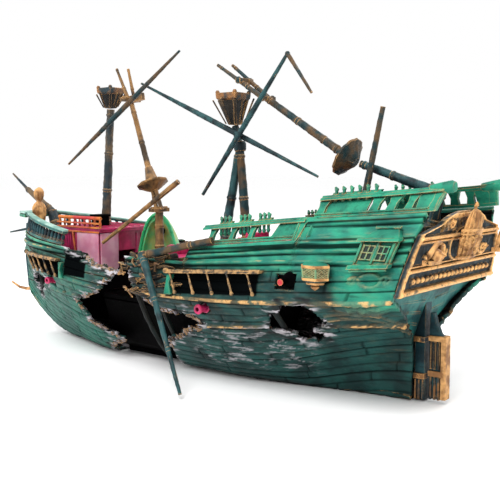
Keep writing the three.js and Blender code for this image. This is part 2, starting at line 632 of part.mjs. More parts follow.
// ---- bow section ----
const mastStepTop = 42.3;
const bowStations = [-121, -116, -110, -103, -95, -87, -79, -71, -62, -54, -46, -38, -29];
const bowBreak = {
  [port]: [[-60.5, 60], [-60.5, 44.5], [-50.1, 44.3], [-39.6, 38.9], [-25.5, 37.8], [-39, 28.5],
    [-58.5, 22.3], [-54, 13.9], [-45.8, 11.7], [-36, 8], [-45, 4.6], [-50.5, 1.6], [-50, -3]],
  [starboard]: [[-56, 60], [-56, 44.5], [-47, 40], [-50, 34], [-40, 31], [-48, 24],
    [-56, 18], [-50, 9], [-51, -3]],
};
const bowHole = {
  [port]: [[-111, 26.5], [-97, 30], [-85, 28.2], [-95, 24], [-106, 18.5]],
  [starboard]: [[-106, 29], [-98, 28], [-95, 23], [-98, 18], [-105, 21]],
};

function addBowHull(side, name) {
  const shell = hullShell(bowStations, side);
  const wale = sideStrip(evenly(-118, -56, 8), () => 41.8, () => 43.2, 0.8, 0.9, side);
  const astern = [...splintered(bowBreak[side], 2, 1.2), [0, -3], [0, 60]];
  const cuts = [
    upright(astern, side * -1, side * 60),
    upright(splintered(bowHole[side], 2, 0.8), side * 6, side * 60),
    upright([[-80, 26.5], [-74, 26.5], [-74, 31.5], [-80, 31.5]], side * 14, side * 60),
  ];
  addPart(name, cut(join(shell, wale), ...cuts), paint.teal);
}

function addBowStem() {
  const curve = evenly(forefootX, stemX, 6).map((x) => [x, keelLine(x)]);
  const inner = curve.slice().reverse().map(([x, z]) => [x + 3.5, z + 4]);
  const head = [[stemX - 1.6, 34], [stemX - 0.5, 50], [stemX + 3.2, 50]];
  const outline = [[-50, 0], ...curve, ...head, ...inner, [-50, keelDepth]];
  const stem = upright(outline, -keelHalfWidth, keelHalfWidth);
  const spike = rod(v3(stemX + 1, 0, 18.5), v3(-141.5, 0, 19.3), 1.1, 0.5, 8);
  const rodAhead = rod(v3(stemX + 1, -1, 47.6), v3(-140, -1, 44.8), 0.8, 0.45, 6);
  addPart('bow_stem', join(stem, spike, rodAhead), paint.darkTeal);
}

function addForecastle() {
  addPart('forecastle_deck', toSolid(deckPlate(-118, -86, bowDeckTop)), paint.slate);
  const cabin = block(-84, -58, -15, 15, 27, 50);
  const room = block(-82, -60, -13, 13, 25, 48);
  const door = block(-62, -50, -5, 5, 29, 41);
  const roofEdge = block(-85, -57, -16, 16, 49, 51);
  const flutes = evenly(-81, -61, 8).flatMap((x) => [port, starboard].map((side) => {
    return block(x - 0.6, x + 0.6, side * 14.5, side * 15.8, 29, 47);
  }));
  const railPosts = evenly(-83, -59, 4).map((x) => block(x - 0.6, x + 0.6, -15.5, -14.3, 50.5, 55));
  const railCap = block(-84, -58, -15.6, -14.2, 54.4, 55.8);
  const stack = block(-74, -69, -6, 0, 50.5, 56);
  const whole = join(cabin, roofEdge, ...flutes, railCap, ...railPosts, stack);
  addPart('waist_cabin', cut(whole, room, door), paint.pink);
}

function addForecastleRail(side, end) {
  const capZ = (x) => lerp(50.4, 54.4, (-78 - x) / 38);
  const xs = evenly(-116, -66, 7);
  const cap = sideStrip(xs, capZ, (x) => capZ(x) + 1.7, 2, 0.9, side);
  const foot = sideStrip(xs, (x) => plankTop(x) + gap, (x) => plankTop(x) + 1.3, 1.7, -0.1, side);
  const balusters = evenly(-115, -67, 9).map((x) => {
    return bar(onHull(x, plankTop(x) + 0.7, -0.9, side), onHull(x, capZ(x) + 0.6, -0.9, side), 1.3, 1.6);
  });
  addPart(`forecastle_rail_${end}`, join(cap, foot, ...balusters), paint.teal);
}

function addBowChannel(side, end) {
  const solid = channel(evenly(-100, -64, 5), () => 38.6, 3, evenly(-96, -68, 4), 6, side);
  addPart(`bow_channel_${end}`, solid, paint.gold);
}

function addBowsprit() {
  const root = v3(-112, 2.6, 55.9);
  const middle = v3(-130.3, 2.6, 66);
  const heel = rod(v3(-108, 2.6, 47), root, 2.4, 2.4);
  const spar = rod(root.clone().add(v3(1.4, 0, -0.8)), middle, 1.8, 1.2);
  const tip = rod(middle.clone().add(v3(0.5, 0, -0.3)), v3(-141.5, 2.6, 73.4), 0.8, 0.4);
  addPart('bowsprit', join(heel, spar, tip), paint.mast);
  const skirt = [[0, 0], [3.2, 0], [3.2, 1.4], [1.6, 2.6], [3, 6], [1.5, 9.5]];
  const head = [[1.9, 10.5], [3.1, 14], [1.9, 18], [0, 22]];
  const finialFoot = v3(-112.5, -4.2, bowDeckTop + gap);
  addPart('bow_finial', toSolid(turned([...skirt, ...head], finialFoot)), paint.gold);
}

function addForeMast() {
  const foot = v3(-74.2, 2.6, 51 + gap);
  const apex = v3(-69.9, 2.6, 101.5);
  addPart('fore_mast', toSolid(rod(foot, apex, 2, 1.6)), paint.mast);
  mastTop('fore_top', apex.clone().add(v3(0, 0, gap + 0.1)), v3(-69.5, 2.6, 110.6), 4.4);
}

function addForeTopmast() {
  const foot = v3(-32.9, -5.5, mastStepTop + gap);
  const lowCross = v3(-34.3, -4.2, 59.1);
  const dish = v3(-38.7, -3, 68.7);
  const upperCross = v3(-54.6, 0, 104.6);
  const run = upperCross.clone().sub(dish).normalize();
  const tip = v3(-59.3, 0, 117.8);
  const lower = rod(foot, lowCross, 1.9, 1.6);
  const middle = rod(lowCross, dish, 1.7, 1.7);
  const upper = rod(dish, upperCross, 1.6, 1.3);
  const bowl = rod(dish.clone().addScaledVector(run, -2), dish.clone().addScaledVector(run, 1.6), 2, 6.4, 10);
  const wings = [port, starboard].map((side) => {
    const heel = upperCross.clone().add(v3(1, side * 1.6, -1));
    return rod(heel, tip.clone().add(v3(side * 1.8, side * 1.6, 0)), 1, 0.7, 6);
  });
  const crosses = [lowCross, upperCross].map((c) => crossTree(c, 4.4, 3.4, 1.8));
  const stub = bar(upperCross, upperCross.clone().add(v3(7.5, 0, 1.2)), 2, 3);
  addPart('fore_topmast', join(lower, middle, upper, bowl, ...wings, ...crosses, stub), paint.mast);
  addPart('fore_upper_yard', toSolid(yard(v3(-87.1, -7, 77.8), v3(-19.5, -7, 121.1))), paint.mast);
  addPart('fore_lower_yard', toSolid(rod(v3(-53.2, -18, 45.5), v3(-20.5, -7.2, 70.8), 0.7, 1.1)), paint.mast);
}

// The torn far bulwark: half of a rounded shell, hollow towards port, with one small hole.
function addGreenBulwark() {
  const centre = v3(-44, 5, 28.6);
  const dome = (rx, ry, rz) => {
    const ball = new THREE.SphereGeometry(1, 14, 10).rotateX(Math.PI / 2);
    return ball.scale(rx, ry, rz).translate(centre.x, centre.y, centre.z);
  };
  const nearHalf = block(-80, 0, -40, centre.y, 0, 90);
  const below = block(-80, 0, -40, 60, -40, centre.z);
  const eye = rod(v3(-45, 0, 49), v3(-45, 40, 49), 1.6);
  const shell = cut(toSolid(dome(12, 9, 28)), dome(10.3, 7.5, 26), nearHalf, below, eye);
  addPart('green_bulwark', shell, paint.green);
}

// The air bell under the waist of the bow, open downwards, with the two arms that swing on the pin.
function addAirBell() {
  const outer = block(-80, -52, -13, 13, 12.5, 25.8);
  const inner = block(-78.2, -53.8, -11.2, 11.2, 10, 24);
  const armFoot = [[-58, 22.4], [-50, 26.4]];
  const armHead = pivotArc(4, -Math.PI / 2, Math.PI / 2);
  const arm = [...armFoot, ...armHead, [-40, 40], [-56, 25.8]];
  const arms = [port, starboard].map((side) => upright(arm, side * 14.8, side * 17.4));
  const yoke = block(-60, -56, -17.4, 17.4, 22.4, 25.8);
  const mastStep = block(-38, -29, -17.4, 0, mastStepTop - 2.9, mastStepTop);
  const pinHoles = pivotRod(30, pivotRadius + gap);
  addPart('air_bell', cut(join(outer, yoke, ...arms, mastStep), inner, pinHoles), paint.black);
}

// ---- assembly ----
addHold();
addHoldCover();
addAirLine();
addSternFrames();
addTransom();
addSternDecks();
addRudder();
addMainMast();
addFallenMizzen();
addBrokenSpar();
addBowStem();
addForecastle();
addBowsprit();
addForeMast();
addForeTopmast();
addGreenBulwark();
addAirBell();
for (const [side, end] of [[port, 'port'], [starboard, 'starboard']]) {
  addSternHull(side, `stern_hull_${end}`);
  addSternRails(side, end);
  addSternChannel(side, end);
  addQuarterLantern(side, end);
  addQuarterGallery(side, end);
  addCannon(`cannon_${end}_fore`, 17.5, 28.2, side, 3.4);
  addCannon(`cannon_${end}_aft`, 50.8, 40.3, side, 2.2);
  addBowHull(side, `bow_hull_${end}`);
  addForecastleRail(side, end);
  addBowChannel(side, end);
}
addCannon('cannon_port_bow', -77, 29, port, 2.6);

export default ship;
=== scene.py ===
"""The wrecked galleon's looks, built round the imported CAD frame. Shapes are worked out in millimetres."""
import math
import random

import bmesh
import bpy
import numpy as np
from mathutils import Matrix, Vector, noise


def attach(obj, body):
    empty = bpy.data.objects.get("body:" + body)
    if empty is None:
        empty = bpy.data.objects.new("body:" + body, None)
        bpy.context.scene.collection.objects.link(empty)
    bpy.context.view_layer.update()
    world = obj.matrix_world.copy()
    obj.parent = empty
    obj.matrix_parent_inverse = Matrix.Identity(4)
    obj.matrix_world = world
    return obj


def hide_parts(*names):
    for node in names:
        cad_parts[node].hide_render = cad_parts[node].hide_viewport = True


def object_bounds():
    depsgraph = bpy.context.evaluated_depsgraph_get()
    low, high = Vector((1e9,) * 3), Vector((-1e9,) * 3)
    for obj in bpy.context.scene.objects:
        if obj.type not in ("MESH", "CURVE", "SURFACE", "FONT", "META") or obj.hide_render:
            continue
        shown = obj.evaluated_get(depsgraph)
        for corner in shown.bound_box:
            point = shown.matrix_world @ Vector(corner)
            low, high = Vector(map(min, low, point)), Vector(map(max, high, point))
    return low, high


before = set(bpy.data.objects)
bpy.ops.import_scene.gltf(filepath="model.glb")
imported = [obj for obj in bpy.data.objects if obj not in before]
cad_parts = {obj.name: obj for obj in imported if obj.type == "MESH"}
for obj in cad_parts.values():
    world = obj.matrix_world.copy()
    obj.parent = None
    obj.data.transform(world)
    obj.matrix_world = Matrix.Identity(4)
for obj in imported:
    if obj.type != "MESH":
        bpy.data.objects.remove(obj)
CAD_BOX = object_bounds()

MM = 0.001
PORT, STARBOARD = -1, 1
SIDES = ((PORT, "port"), (STARBOARD, "starboard"))
CORNERS = ((-1, -1), (1, -1), (1, 1), (-1, 1))
STERN, BOW, RUDDER = "stern_section", "bow_section", "rudder"
random.seed(11)
noise.seed_set(11)

# ---- driving dimensions of the hull, as the CAD has them ----
HALF_KEEL = 84.0
HALF_BEAM = 37.0
WALE_RISE = 31.0
TUMBLEHOME = 0.43
KEEL_HALF_WIDTH = 3.0
HOLD_HALF_WIDTH = 9.3
HOLD_HEIGHT = 24.0
HULL_AFT = HALF_KEEL - 4
WAIST_X = 8.0
POOP_X = 52.0
GAP = 0.3


# ---- camera, light and floor ----
CAMERA_PLACE = (202.3, -243.0, 75.7)
CAMERA_AZIMUTH, CAMERA_PITCH = math.radians(38.41), math.radians(5.65)
CAMERA_LENS = 59.04
FLOOR_REACH = 6.0
# name, place in metres, size in metres, power in watts
LIGHTS = (("key", (0.1, -0.5, 0.8), 0.4, 6.0), ("fill", (-0.7, -0.45, 0.45), 0.7, 1.0),
          ("back", (0.1, 0.7, 0.6), 0.5, 3.0))


def studio():
    """The photograph's view: from the port quarter, a little above the rails."""
    camera = bpy.data.objects.new("camera", bpy.data.cameras.new("camera"))
    camera.location = Vector(CAMERA_PLACE) * MM
    camera.rotation_euler = (math.pi / 2 - CAMERA_PITCH, 0, CAMERA_AZIMUTH)
    camera.data.lens = CAMERA_LENS
    camera.data.sensor_width = 36
    camera.data.clip_start = 0.01
    bpy.context.scene.collection.objects.link(camera)
    bpy.context.scene.camera = camera

    floor = bpy.data.meshes.new("floor")
    corners = [(i * FLOOR_REACH, j * FLOOR_REACH, 0) for i, j in CORNERS]
    floor.from_pydata(corners, [], [(0, 1, 2, 3)])
    ground = bpy.data.objects.new("floor", floor)
    ground.location.z = CAD_BOX[0][2] - 0.2 * MM
    ground.data.materials.append(floor_paint())
    bpy.context.scene.collection.objects.link(ground)

    for name, place, size, power in LIGHTS:
        light = bpy.data.objects.new(name, bpy.data.lights.new(name, "AREA"))
        light.data.size = size
        light.data.energy = power
        light.location = place
        light.rotation_euler = (Vector((0, 0, 0.05)) - light.location).to_track_quat("-Z", "Y").to_euler()
        bpy.context.scene.collection.objects.link(light)
    world = bpy.data.worlds.new("studio")
    world.use_nodes = True
    sky = world.node_tree.nodes["Background"]
    sky.inputs["Color"].default_value = (1, 1, 1, 1)
    sky.inputs["Strength"].default_value = 1.0
    bpy.context.scene.world = world
    bpy.context.scene.view_settings.view_transform = "Standard"


# ---- materials ----
def rgb(code):
    """A linear colour from a hex code."""
    parts = [int(code[i:i + 2], 16) / 255 for i in (0, 2, 4)]
    return tuple(c / 12.92 if c <= 0.04045 else ((c + 0.055) / 1.055) ** 2.4 for c in parts) + (1,)


class Nodes:
    """A short way to write a node tree: each call adds a node and returns its first output."""

    def __init__(self, name):
        self.material = bpy.data.materials.new(name)
        self.material.use_nodes = True
        self.tree = self.material.node_tree
        self.shader = self.tree.nodes["Principled BSDF"]

    def add(self, kind, settings=None, **inputs):
        node = self.tree.nodes.new(kind)
        for key, value in (settings or {}).items():
            setattr(node, key, value)
        for key, value in inputs.items():
            self.feed(node.inputs[key.replace("_", " ")], value)
        return node

    def feed(self, socket, value):
        """Gives a socket another node's output, a hex colour or a plain value."""
        if isinstance(value, bpy.types.NodeSocket):
            self.tree.links.new(value, socket)
        else:
            socket.default_value = rgb(value) if isinstance(value, str) else value

    def surface(self, **inputs):
        """Feeds the shader's own inputs."""
        for key, value in inputs.items():
            self.feed(self.shader.inputs[key.replace("_", " ")], value)

    def noise(self, scale, detail=3.0, stretch=(1, 1, 1)):
        coords = self.add("ShaderNodeTexCoord").outputs["Object"]
        moved = self.add("ShaderNodeMapping", Vector=coords, Scale=stretch).outputs[0]
        return self.add("ShaderNodeTexNoise", Vector=moved, Scale=scale, Detail=detail).outputs["Fac"]

    def ramp(self, value, low, high):
        node = self.add("ShaderNodeMapRange", {"interpolation_type": "SMOOTHSTEP"}, Value=value)
        node.inputs["From Min"].default_value = low
        node.inputs["From Max"].default_value = high
        return node.outputs[0]

    def math(self, operation, a, b=0.0):
        node = self.add("ShaderNodeMath", {"operation": operation, "use_clamp": True})
        self.feed(node.inputs[0], a)
        self.feed(node.inputs[1], b)
        return node.outputs[0]

    def mix(self, factor, a, b):
        node = self.add("ShaderNodeMix", {"data_type": "RGBA"})
        self.feed(node.inputs[0], factor)
        self.feed(node.inputs[6], a)
        self.feed(node.inputs[7], b)
        return node.outputs[2]

    def edges(self, radius):
        """1 along sharp raised or sunk edges, from how far rounding them would turn the normal."""
        rounded = self.add("ShaderNodeBevel", {"samples": 4}, Radius=radius).outputs[0]
        flat = self.add("ShaderNodeNewGeometry").outputs["Normal"]
        turn = self.add("ShaderNodeVectorMath", {"operation": "DOT_PRODUCT"})
        self.feed(turn.inputs[0], rounded)
        self.feed(turn.inputs[1], flat)
        return self.ramp(turn.outputs["Value"], 0.985, 0.80)

    # How shut in each point is, from an ambient occlusion test: 0 in the open, 1 deep in a hollow. Used to
    # paint shade into hollows.
    def hollow_shade(self, distance):
        open_sky = self.add("ShaderNodeAmbientOcclusion", {"samples": 4}, Distance=distance).outputs["AO"]
        return self.ramp(open_sky, 0.75, 0.25)


GOLD = "F4C07C"
COPPER = "A8673A"
# A near-black for dark streaks and joints, and for painted shadow and shade.
GRIME_AND_SHADE_BLACK = "07090A"
TORN_PALE, TORN_DARK = "BDB7BC", "151214"
SPECULAR = 0.22


def antique(name, base, second, dark_and_shade_colour=GRIME_AND_SHADE_BLACK, gilding=0.75, rough=0.5, grain=(1, 1, 1), low=None,
            patches=110, brush=0.5):
    """Painted plastic: two blended colours, dark paint and painted shade in the hollows, metallic paint
    brushed on edges.

    The mesh's "paint" attribute adds gold in its first value, torn pale plastic in its second and
    black in its third, for dark joints and for painted shadow and shade. With low colours, "shade"
    blends from those to the base colours.
    """
    n = Nodes(name)
    masks = n.add("ShaderNodeAttribute", {"attribute_name": "paint"}).outputs["Vector"]
    split = n.add("ShaderNodeSeparateXYZ", Vector=masks).outputs
    patch = n.ramp(n.noise(patches, 4.0), 0.38, 0.62)
    streak = n.noise(520, 4.0, grain)
    speck = n.noise(1500, 2.0)
    colour = n.mix(patch, base, second)
    if low:
        shade = n.add("ShaderNodeAttribute", {"attribute_name": "shade"}).outputs["Fac"]
        colour = n.mix(shade, n.mix(patch, *low), colour)
    colour = n.mix(n.math("MULTIPLY", n.ramp(streak, 0.5, 0.75), 0.45), colour, dark_and_shade_colour)
    # Darker in the hollows from the occlusion test: partly the dark paint the ornament has there, partly
    # painted shade.
    colour = n.mix(n.math("MULTIPLY", n.hollow_shade(0.003), 0.95), colour, dark_and_shade_colour)
    # The third paint value blends in black: dark plank joints, and painted shadow and shade where the mesh
    # marks them.
    colour = n.mix(split[2], colour, GRIME_AND_SHADE_BLACK)
    brushed = n.ramp(n.noise(330, 5.0, grain), brush, brush + 0.12)
    edge = n.math("MULTIPLY", n.edges(0.0005), n.ramp(n.noise(200, 3.0), 0.36, 0.52))
    worn = n.math("MULTIPLY", split[0], n.math("ADD", brushed, 0.25))
    solid = n.math("MULTIPLY", n.ramp(split[0], 0.5, 0.85), n.ramp(n.noise(420, 3.0), 0.3, 0.5))
    relief = n.math("MAXIMUM", worn, solid)
    bright = n.math("SUBTRACT", 1.0, split[2])
    metal = n.math("MULTIPLY", n.math("MULTIPLY", n.math("ADD", edge, relief), gilding), bright)
    gilt = n.mix(n.ramp(speck, 0.45, 0.8), GOLD, COPPER)
    colour = n.mix(metal, colour, gilt)
    fibre = n.noise(330, 5.0, (0.4, 1, 1.5))
    pale = n.mix(n.ramp(fibre, 0.46, 0.53), TORN_PALE, TORN_DARK)
    torn = n.math("MULTIPLY", split[1], n.ramp(n.noise(260, 4.0, (0.35, 1, 1.5)), 0.36, 0.54))
    colour = n.mix(torn, colour, pale)
    bump = n.add("ShaderNodeBump", Strength=0.55, Distance=0.0004, Height=n.math("ADD", streak, speck))
    n.surface(Base_Color=colour, Metallic=n.math("MULTIPLY", metal, 0.55), Normal=bump.outputs[0],
              Roughness=n.math("ADD", n.math("MULTIPLY", streak, 0.3), rough - 0.15),
              Specular_IOR_Level=n.math("MULTIPLY", bright, SPECULAR))
    return n.material


def plastic(name, base, second, rough=0.3, shine=0.4, dark_and_shade_colour=GRIME_AND_SHADE_BLACK, hollow_shade_amount=0.6, scatter=0.0):
    """Moulded plastic with a soft mottle, and painted shade in its hollows."""
    n = Nodes(name)
    mottle = n.ramp(n.noise(160, 3.0), 0.35, 0.65)
    colour = n.mix(mottle, base, second)
    # Darker in the hollows from the occlusion test: painted shade.
    colour = n.mix(n.math("MULTIPLY", n.hollow_shade(0.003), hollow_shade_amount), colour, dark_and_shade_colour)
    bump = n.add("ShaderNodeBump", Strength=0.25, Distance=0.0003, Height=n.noise(600, 3.0))
    n.surface(Base_Color=colour, Normal=bump.outputs[0], Subsurface_Weight=scatter, Subsurface_Scale=0.004,
              Roughness=n.math("ADD", n.math("MULTIPLY", n.noise(800, 2.0), 0.25), rough - 0.1),
              Specular_IOR_Level=shine)
    return n.material


def floor_paint():
    n = Nodes("floor")
    tone = n.mix(n.noise(3, 2.0), (0.988, 0.988, 0.988, 1), (0.998, 0.998, 0.998, 1))
    n.surface(Base_Color=tone, Roughness=0.55)
    return n.material


LONG_GRAIN = (0.25, 1, 1.6)
UP_GRAIN = (1.6, 1.6, 0.2)
paint = {
    "hull": antique("hull_paint", "2B9A7A", "1F7A68", gilding=0.7, grain=LONG_GRAIN, brush=0.55,
                    low=("16393C", "0B1D22")),
    "inner": antique("inner_paint", "0C1716", "060B0B", gilding=0.05, rough=0.6),
    "torn": antique("torn_paint", "34302F", "827C82", dark_and_shade_colour="0B0A0C", gilding=0.6, rough=0.7,
                    patches=420),
    "rail": antique("rail_paint", "289070", "1B6E5A", gilding=0.55, brush=0.6),
    "slate": antique("slate_paint", "1B444A", "0C2128", gilding=0.55, grain=LONG_GRAIN, brush=0.58),
    "bow_rail": antique("bow_rail_paint", "27706A", "143C3E", gilding=0.4, brush=0.6),
    "gold": antique("gold_paint", "8A5F38", "22343A", gilding=1.0, brush=0.38, patches=240),
    "gilt": antique("gilt_paint", "D9A468", "8A5F38", gilding=1.0, brush=0.34, patches=300),
    "channel": antique("channel_paint", "A88458", "2C2E2C", gilding=0.85, brush=0.44, patches=430),
    "carved": antique("carved_paint", "33454A", "1A2A30", gilding=1.0, brush=0.4, patches=240),
    "mast": antique("mast_paint", "5A452E", "163236", gilding=0.85, grain=UP_GRAIN, brush=0.5, patches=190),
    "teal_mast": antique("teal_mast_paint", "284E50", "15262A", gilding=0.75, grain=UP_GRAIN, brush=0.56,
                         patches=190),
    "umber_mast": antique("umber_mast_paint", "8F6A40", "3F3224", gilding=0.9, grain=UP_GRAIN, brush=0.5,
                          patches=190),
    "grey_mast": antique("grey_mast_paint", "6A5740", "26343A", gilding=0.7, grain=UP_GRAIN, brush=0.54,
                         patches=120),
    "wood": antique("broken_wood_paint", "2A241D", "0D1011", gilding=0.85, grain=LONG_GRAIN, brush=0.47),
    "pink": plastic("pink_plastic", "C02A60", "8E1844", rough=0.32, scatter=0.2, dark_and_shade_colour="2A0614"),
    "rose": plastic("rose_plastic", "E0A0B2", "CF7F9A", rough=0.36, scatter=0.3, dark_and_shade_colour="7A2A48"),
    "green": plastic("green_plastic", "5CC787", "A9BE74", rough=0.3, scatter=0.5, hollow_shade_amount=0.2),
    "lime": plastic("lime_plastic", "2FB06E", "48C486", rough=0.3, scatter=0.2, hollow_shade_amount=0.5),
    "black": plastic("black_plastic", "000000", "020102", rough=0.6, shine=0.02, hollow_shade_amount=0.2),
    "glass": plastic("dark_panes", "062019", "0A2E26", rough=0.25),
    "cap": plastic("cap_plastic", "9FC0B4", "6C9A8E", rough=0.5, hollow_shade_amount=0.5),
    "redgold": antique("red_gold_paint", "B8323C", "C9702E", gilding=0.8, brush=0.46),
    "steel": plastic("pin_steel", "8C8C8A", "A8A8A4", rough=0.3),
    "iron": plastic("ballast_iron", "3A3734", "4C4640", rough=0.8),
}


# ---- mesh building ----
BEVEL_ABOVE, SMOOTH_BELOW = 32, 38


def vec(x, y, z):
    return np.array((x, y, z), float)


def unit(v):
    return v / max(np.linalg.norm(v), 1e-9)


class Form:
    """Closed shells gathered in millimetres, to become one mesh."""

    def __init__(self):
        self.points = []
        self.faces = []

    def loft(self, rings):
        """A skin through rings of equal size, capped at both ends."""
        start, size = len(self.points), len(rings[0])
        self.points += [tuple(p) for ring in rings for p in ring]
        last = start + (len(rings) - 1) * size
        for here in range(start, last, size):
            for i in range(size):
                j = (i + 1) % size
                self.faces.append((here + i, here + j, here + size + j, here + size + i))
        self.faces.append(tuple(range(start, start + size))[::-1])
        self.faces.append(tuple(range(last, last + size)))
        return self

    def rod(self, points, radii, sides=12, rough=0.0):
        """A tube along a line of points, of one radius or one for each, with an uneven skin if rough."""
        points = [np.array(p, float) for p in points]
        radii = [radii] * len(points) if isinstance(radii, float) else radii
        rings = []
        for i, p in enumerate(points):
            run = unit(points[min(i + 1, len(points) - 1)] - points[max(i - 1, 0)])
            side = unit(np.cross(run, vec(0, 0, 1) if abs(run[2]) < 0.9 else vec(0, 1, 0)))
            up = np.cross(side, run)
            ring = []
            for k in range(sides):
                a = math.tau * k / sides
                around = Vector((p[0] + 5 * math.cos(a), p[1] + 5 * math.sin(a), p[2])) * 0.7
                r = radii[i] * (1 + rough * noise.noise(around))
                ring.append(p + side * r * math.cos(a) + up * r * math.sin(a))
            rings.append(ring)
        return self.loft(rings)

    def spar(self, a, b, r0, r1, sides=12, bands=()):
        """A tapering pole with an uneven whittled skin, and raised bands at shares of its length."""
        a, b = np.array(a, float), np.array(b, float)
        count = max(3, int(np.linalg.norm(b - a) / 1.2))
        shares = [i / count for i in range(count + 1)]
        self.rod([a + (b - a) * t for t in shares], [r0 + (r1 - r0) * t for t in shares], sides, 0.16)
        for t in bands:
            run = unit(b - a) * 0.6
            middle, r = a + (b - a) * t, (r0 + (r1 - r0) * t) * 1.14
            band = [middle - run, middle - run * 0.5, middle + run * 0.5, middle + run]
            self.rod(band, [r * 0.85, r, r, r * 0.85], sides)
        return self

    def beam(self, a, b, width, height):
        """A straight bar of rectangular section, with its width level."""
        a, b = np.array(a, float), np.array(b, float)
        run = unit(b - a)
        side = unit(np.cross(vec(0, 0, 1), run)) if abs(run[2]) < 0.98 else vec(0, 1, 0)
        rise = np.cross(run, side)
        corners = [side * i * width / 2 + rise * j * height / 2 for i, j in CORNERS]
        return self.loft([[p + c for c in corners] for p in (a, b)])

    def turned(self, profile, at, axis=(0, 0, 1), sides=24, ribs=0, rib_depth=0.0):
        """A round profile of (radius, height) along an axis, ribbed if asked."""
        axis = unit(np.array(axis, float))
        side = unit(np.cross(axis, vec(1, 0, 0) if abs(axis[0]) < 0.9 else vec(0, 0, 1)))
        other = np.cross(axis, side)
        rings = []
        for radius, height in profile:
            ring = []
            for k in range(sides):
                a = math.tau * k / sides
                r = radius + rib_depth * math.cos(ribs * a) * min(1, radius / 3)
                ring.append(np.array(at) + axis * height + side * r * math.cos(a) + other * r * math.sin(a))
            rings.append(ring)
        return self.loft(rings)

    def ball(self, at, radius, sides=12):
        rings = []
        for i in range(1, sides // 2):
            lat = math.pi * i / (sides // 2)
            lons = [math.tau * k / sides for k in range(sides)]
            wide, high = math.sin(lat), math.cos(lat)
            ring = [vec(wide * math.cos(lon), wide * math.sin(lon), high) for lon in lons]
            rings.append([np.array(at) + radius * p for p in ring])
        return self.loft(rings)

    def slab(self, outline, thickness):
        """A flat outline of 3-D points, thickened by a vector."""
        points = [np.array(p, float) for p in outline]
        return self.loft([points, [p + np.array(thickness, float) for p in points]])

    def box(self, x0, x1, y0, y1, z0, z1):
        return self.slab([(x0, y0, z0), (x1, y0, z0), (x1, y1, z0), (x0, y1, z0)], (0, 0, z1 - z0))


def piece(name, form, look, body, replaces, bevel=0.0, wobble=0.0):
    """Makes a form's mesh, unevens it by the wobble, and finishes it. Replaces names a CAD node, or none."""
    mesh = bpy.data.meshes.new(name)
    points = np.array(form.points, float)
    if wobble:
        points = np.array([p + wobble * np.array(noise.noise_vector(Vector(p) * 0.35)) for p in points])
    mesh.from_pydata((points * MM).tolist(), [], form.faces)
    finish_piece(name, mesh, look, body, replaces, bevel, SMOOTH_BELOW)


def finish_piece(name, mesh, look, body, replaces, bevel, smooth_below):
    """Paints a mesh, rounds its edges by the bevel, smooths its slight turns and hands it to its body."""
    obj = bpy.data.objects.new(name, mesh)
    bpy.context.scene.collection.objects.link(obj)
    mesh.materials.append(paint[look])
    tidy_normals(mesh)
    if bevel:
        modifier = obj.modifiers.new("edges", "BEVEL")
        modifier.width = bevel * MM
        modifier.segments = 2
        modifier.limit_method = "ANGLE"
        modifier.angle_limit = math.radians(BEVEL_ABOVE)
    mesh.polygons.foreach_set("use_smooth", [True] * len(mesh.polygons))
    mesh.set_sharp_from_angle(angle=math.radians(smooth_below))
    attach(obj, body)
    if replaces:
        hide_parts(replaces)


def tidy_normals(mesh):
    bm = bmesh.new()
    bm.from_mesh(mesh)
    bmesh.ops.recalc_face_normals(bm, faces=bm.faces)
    bm.to_mesh(mesh)
    bm.free()


def paint_attribute(mesh, gold, torn, dark):
    """Stores the three paint masks, one value each per vertex."""
    layer = mesh.attributes.new("paint", "FLOAT_VECTOR", "POINT")
    layer.data.foreach_set("vector", np.stack([gold, torn, dark], 1).astype(np.float32).ravel())


# ---- hull form ----
def smooth(x, low, high):
    t = np.clip((np.asarray(x, float) - low) / (high - low), 0, 1)
    return t * t * (3 - 2 * t)


def keel_line(x):
    return 20 * np.maximum(0, (-HALF_KEEL - x) / 40) ** 2


def wale_height(x):
    return WALE_RISE + np.where(x > 0, 8 * (x / 90) ** 2, 6 * (x / 100) ** 2)


def widest(x):
    fore, aft = np.maximum(0, (20 - x) / 148), np.maximum(0, (x - 20) / 72)
    return np.maximum(HALF_BEAM * (1 - fore ** 3.4) - 4 * aft ** 2, KEEL_HALF_WIDTH + 1.4)


def floor_half_width(x):
    share = np.where(x > 20, 1 - smooth(x, 20, HULL_AFT), smooth(x, -92, -46))
    return KEEL_HALF_WIDTH + 1.2 + (13 - KEEL_HALF_WIDTH - 1.2) * share


def fullness(x):
    fore = np.maximum(0, (20 - x) / 148)
    return 0.62 + 2.4 * (np.maximum(0, x - 10) / 70) ** 2 + 0.5 * fore ** 4


def half_breadth(x, z):
    x, z = np.asarray(x, float), np.asarray(z, float)
    wale, wide = wale_height(x), widest(x)
    above = wide * (1 - TUMBLEHOME * (np.maximum(0, z - wale) / 32.5) ** 1.8)
    up = np.clip((z - keel_line(x)) / (wale - keel_line(x)), 0, 1)
    low = np.minimum(floor_half_width(x), wide)
    return np.where(z >= wale, above, low + (wide - low) * up ** fullness(x))


def counter_shift(x, z):
    z = np.asarray(z, float)
    lean = np.where(z < 38, 9 * (np.maximum(0, z) / 38) ** 2, 9 + 0.235 * (z - 38))
    return lean * smooth(x, 45, HULL_AFT)


def plank_top(x):
    quarter = 48.5 + 4.5 * (x - WAIST_X) / (POOP_X - WAIST_X)
    poop = 59.5 + 3.5 * (x - POOP_X) / (HULL_AFT - POOP_X)
    mixed = 43.5 + (quarter - 43.5) * smooth(x, WAIST_X - 1, WAIST_X + 1)
    mixed = mixed + (poop - mixed) * smooth(x, POOP_X - 1, POOP_X + 1)
    return np.where(x < -60, 44.2 + 2.4 * (-60 - x) / 60, mixed)


def quarter_rail_top(x):
    return 54 + 5 * (x - WAIST_X) / 46


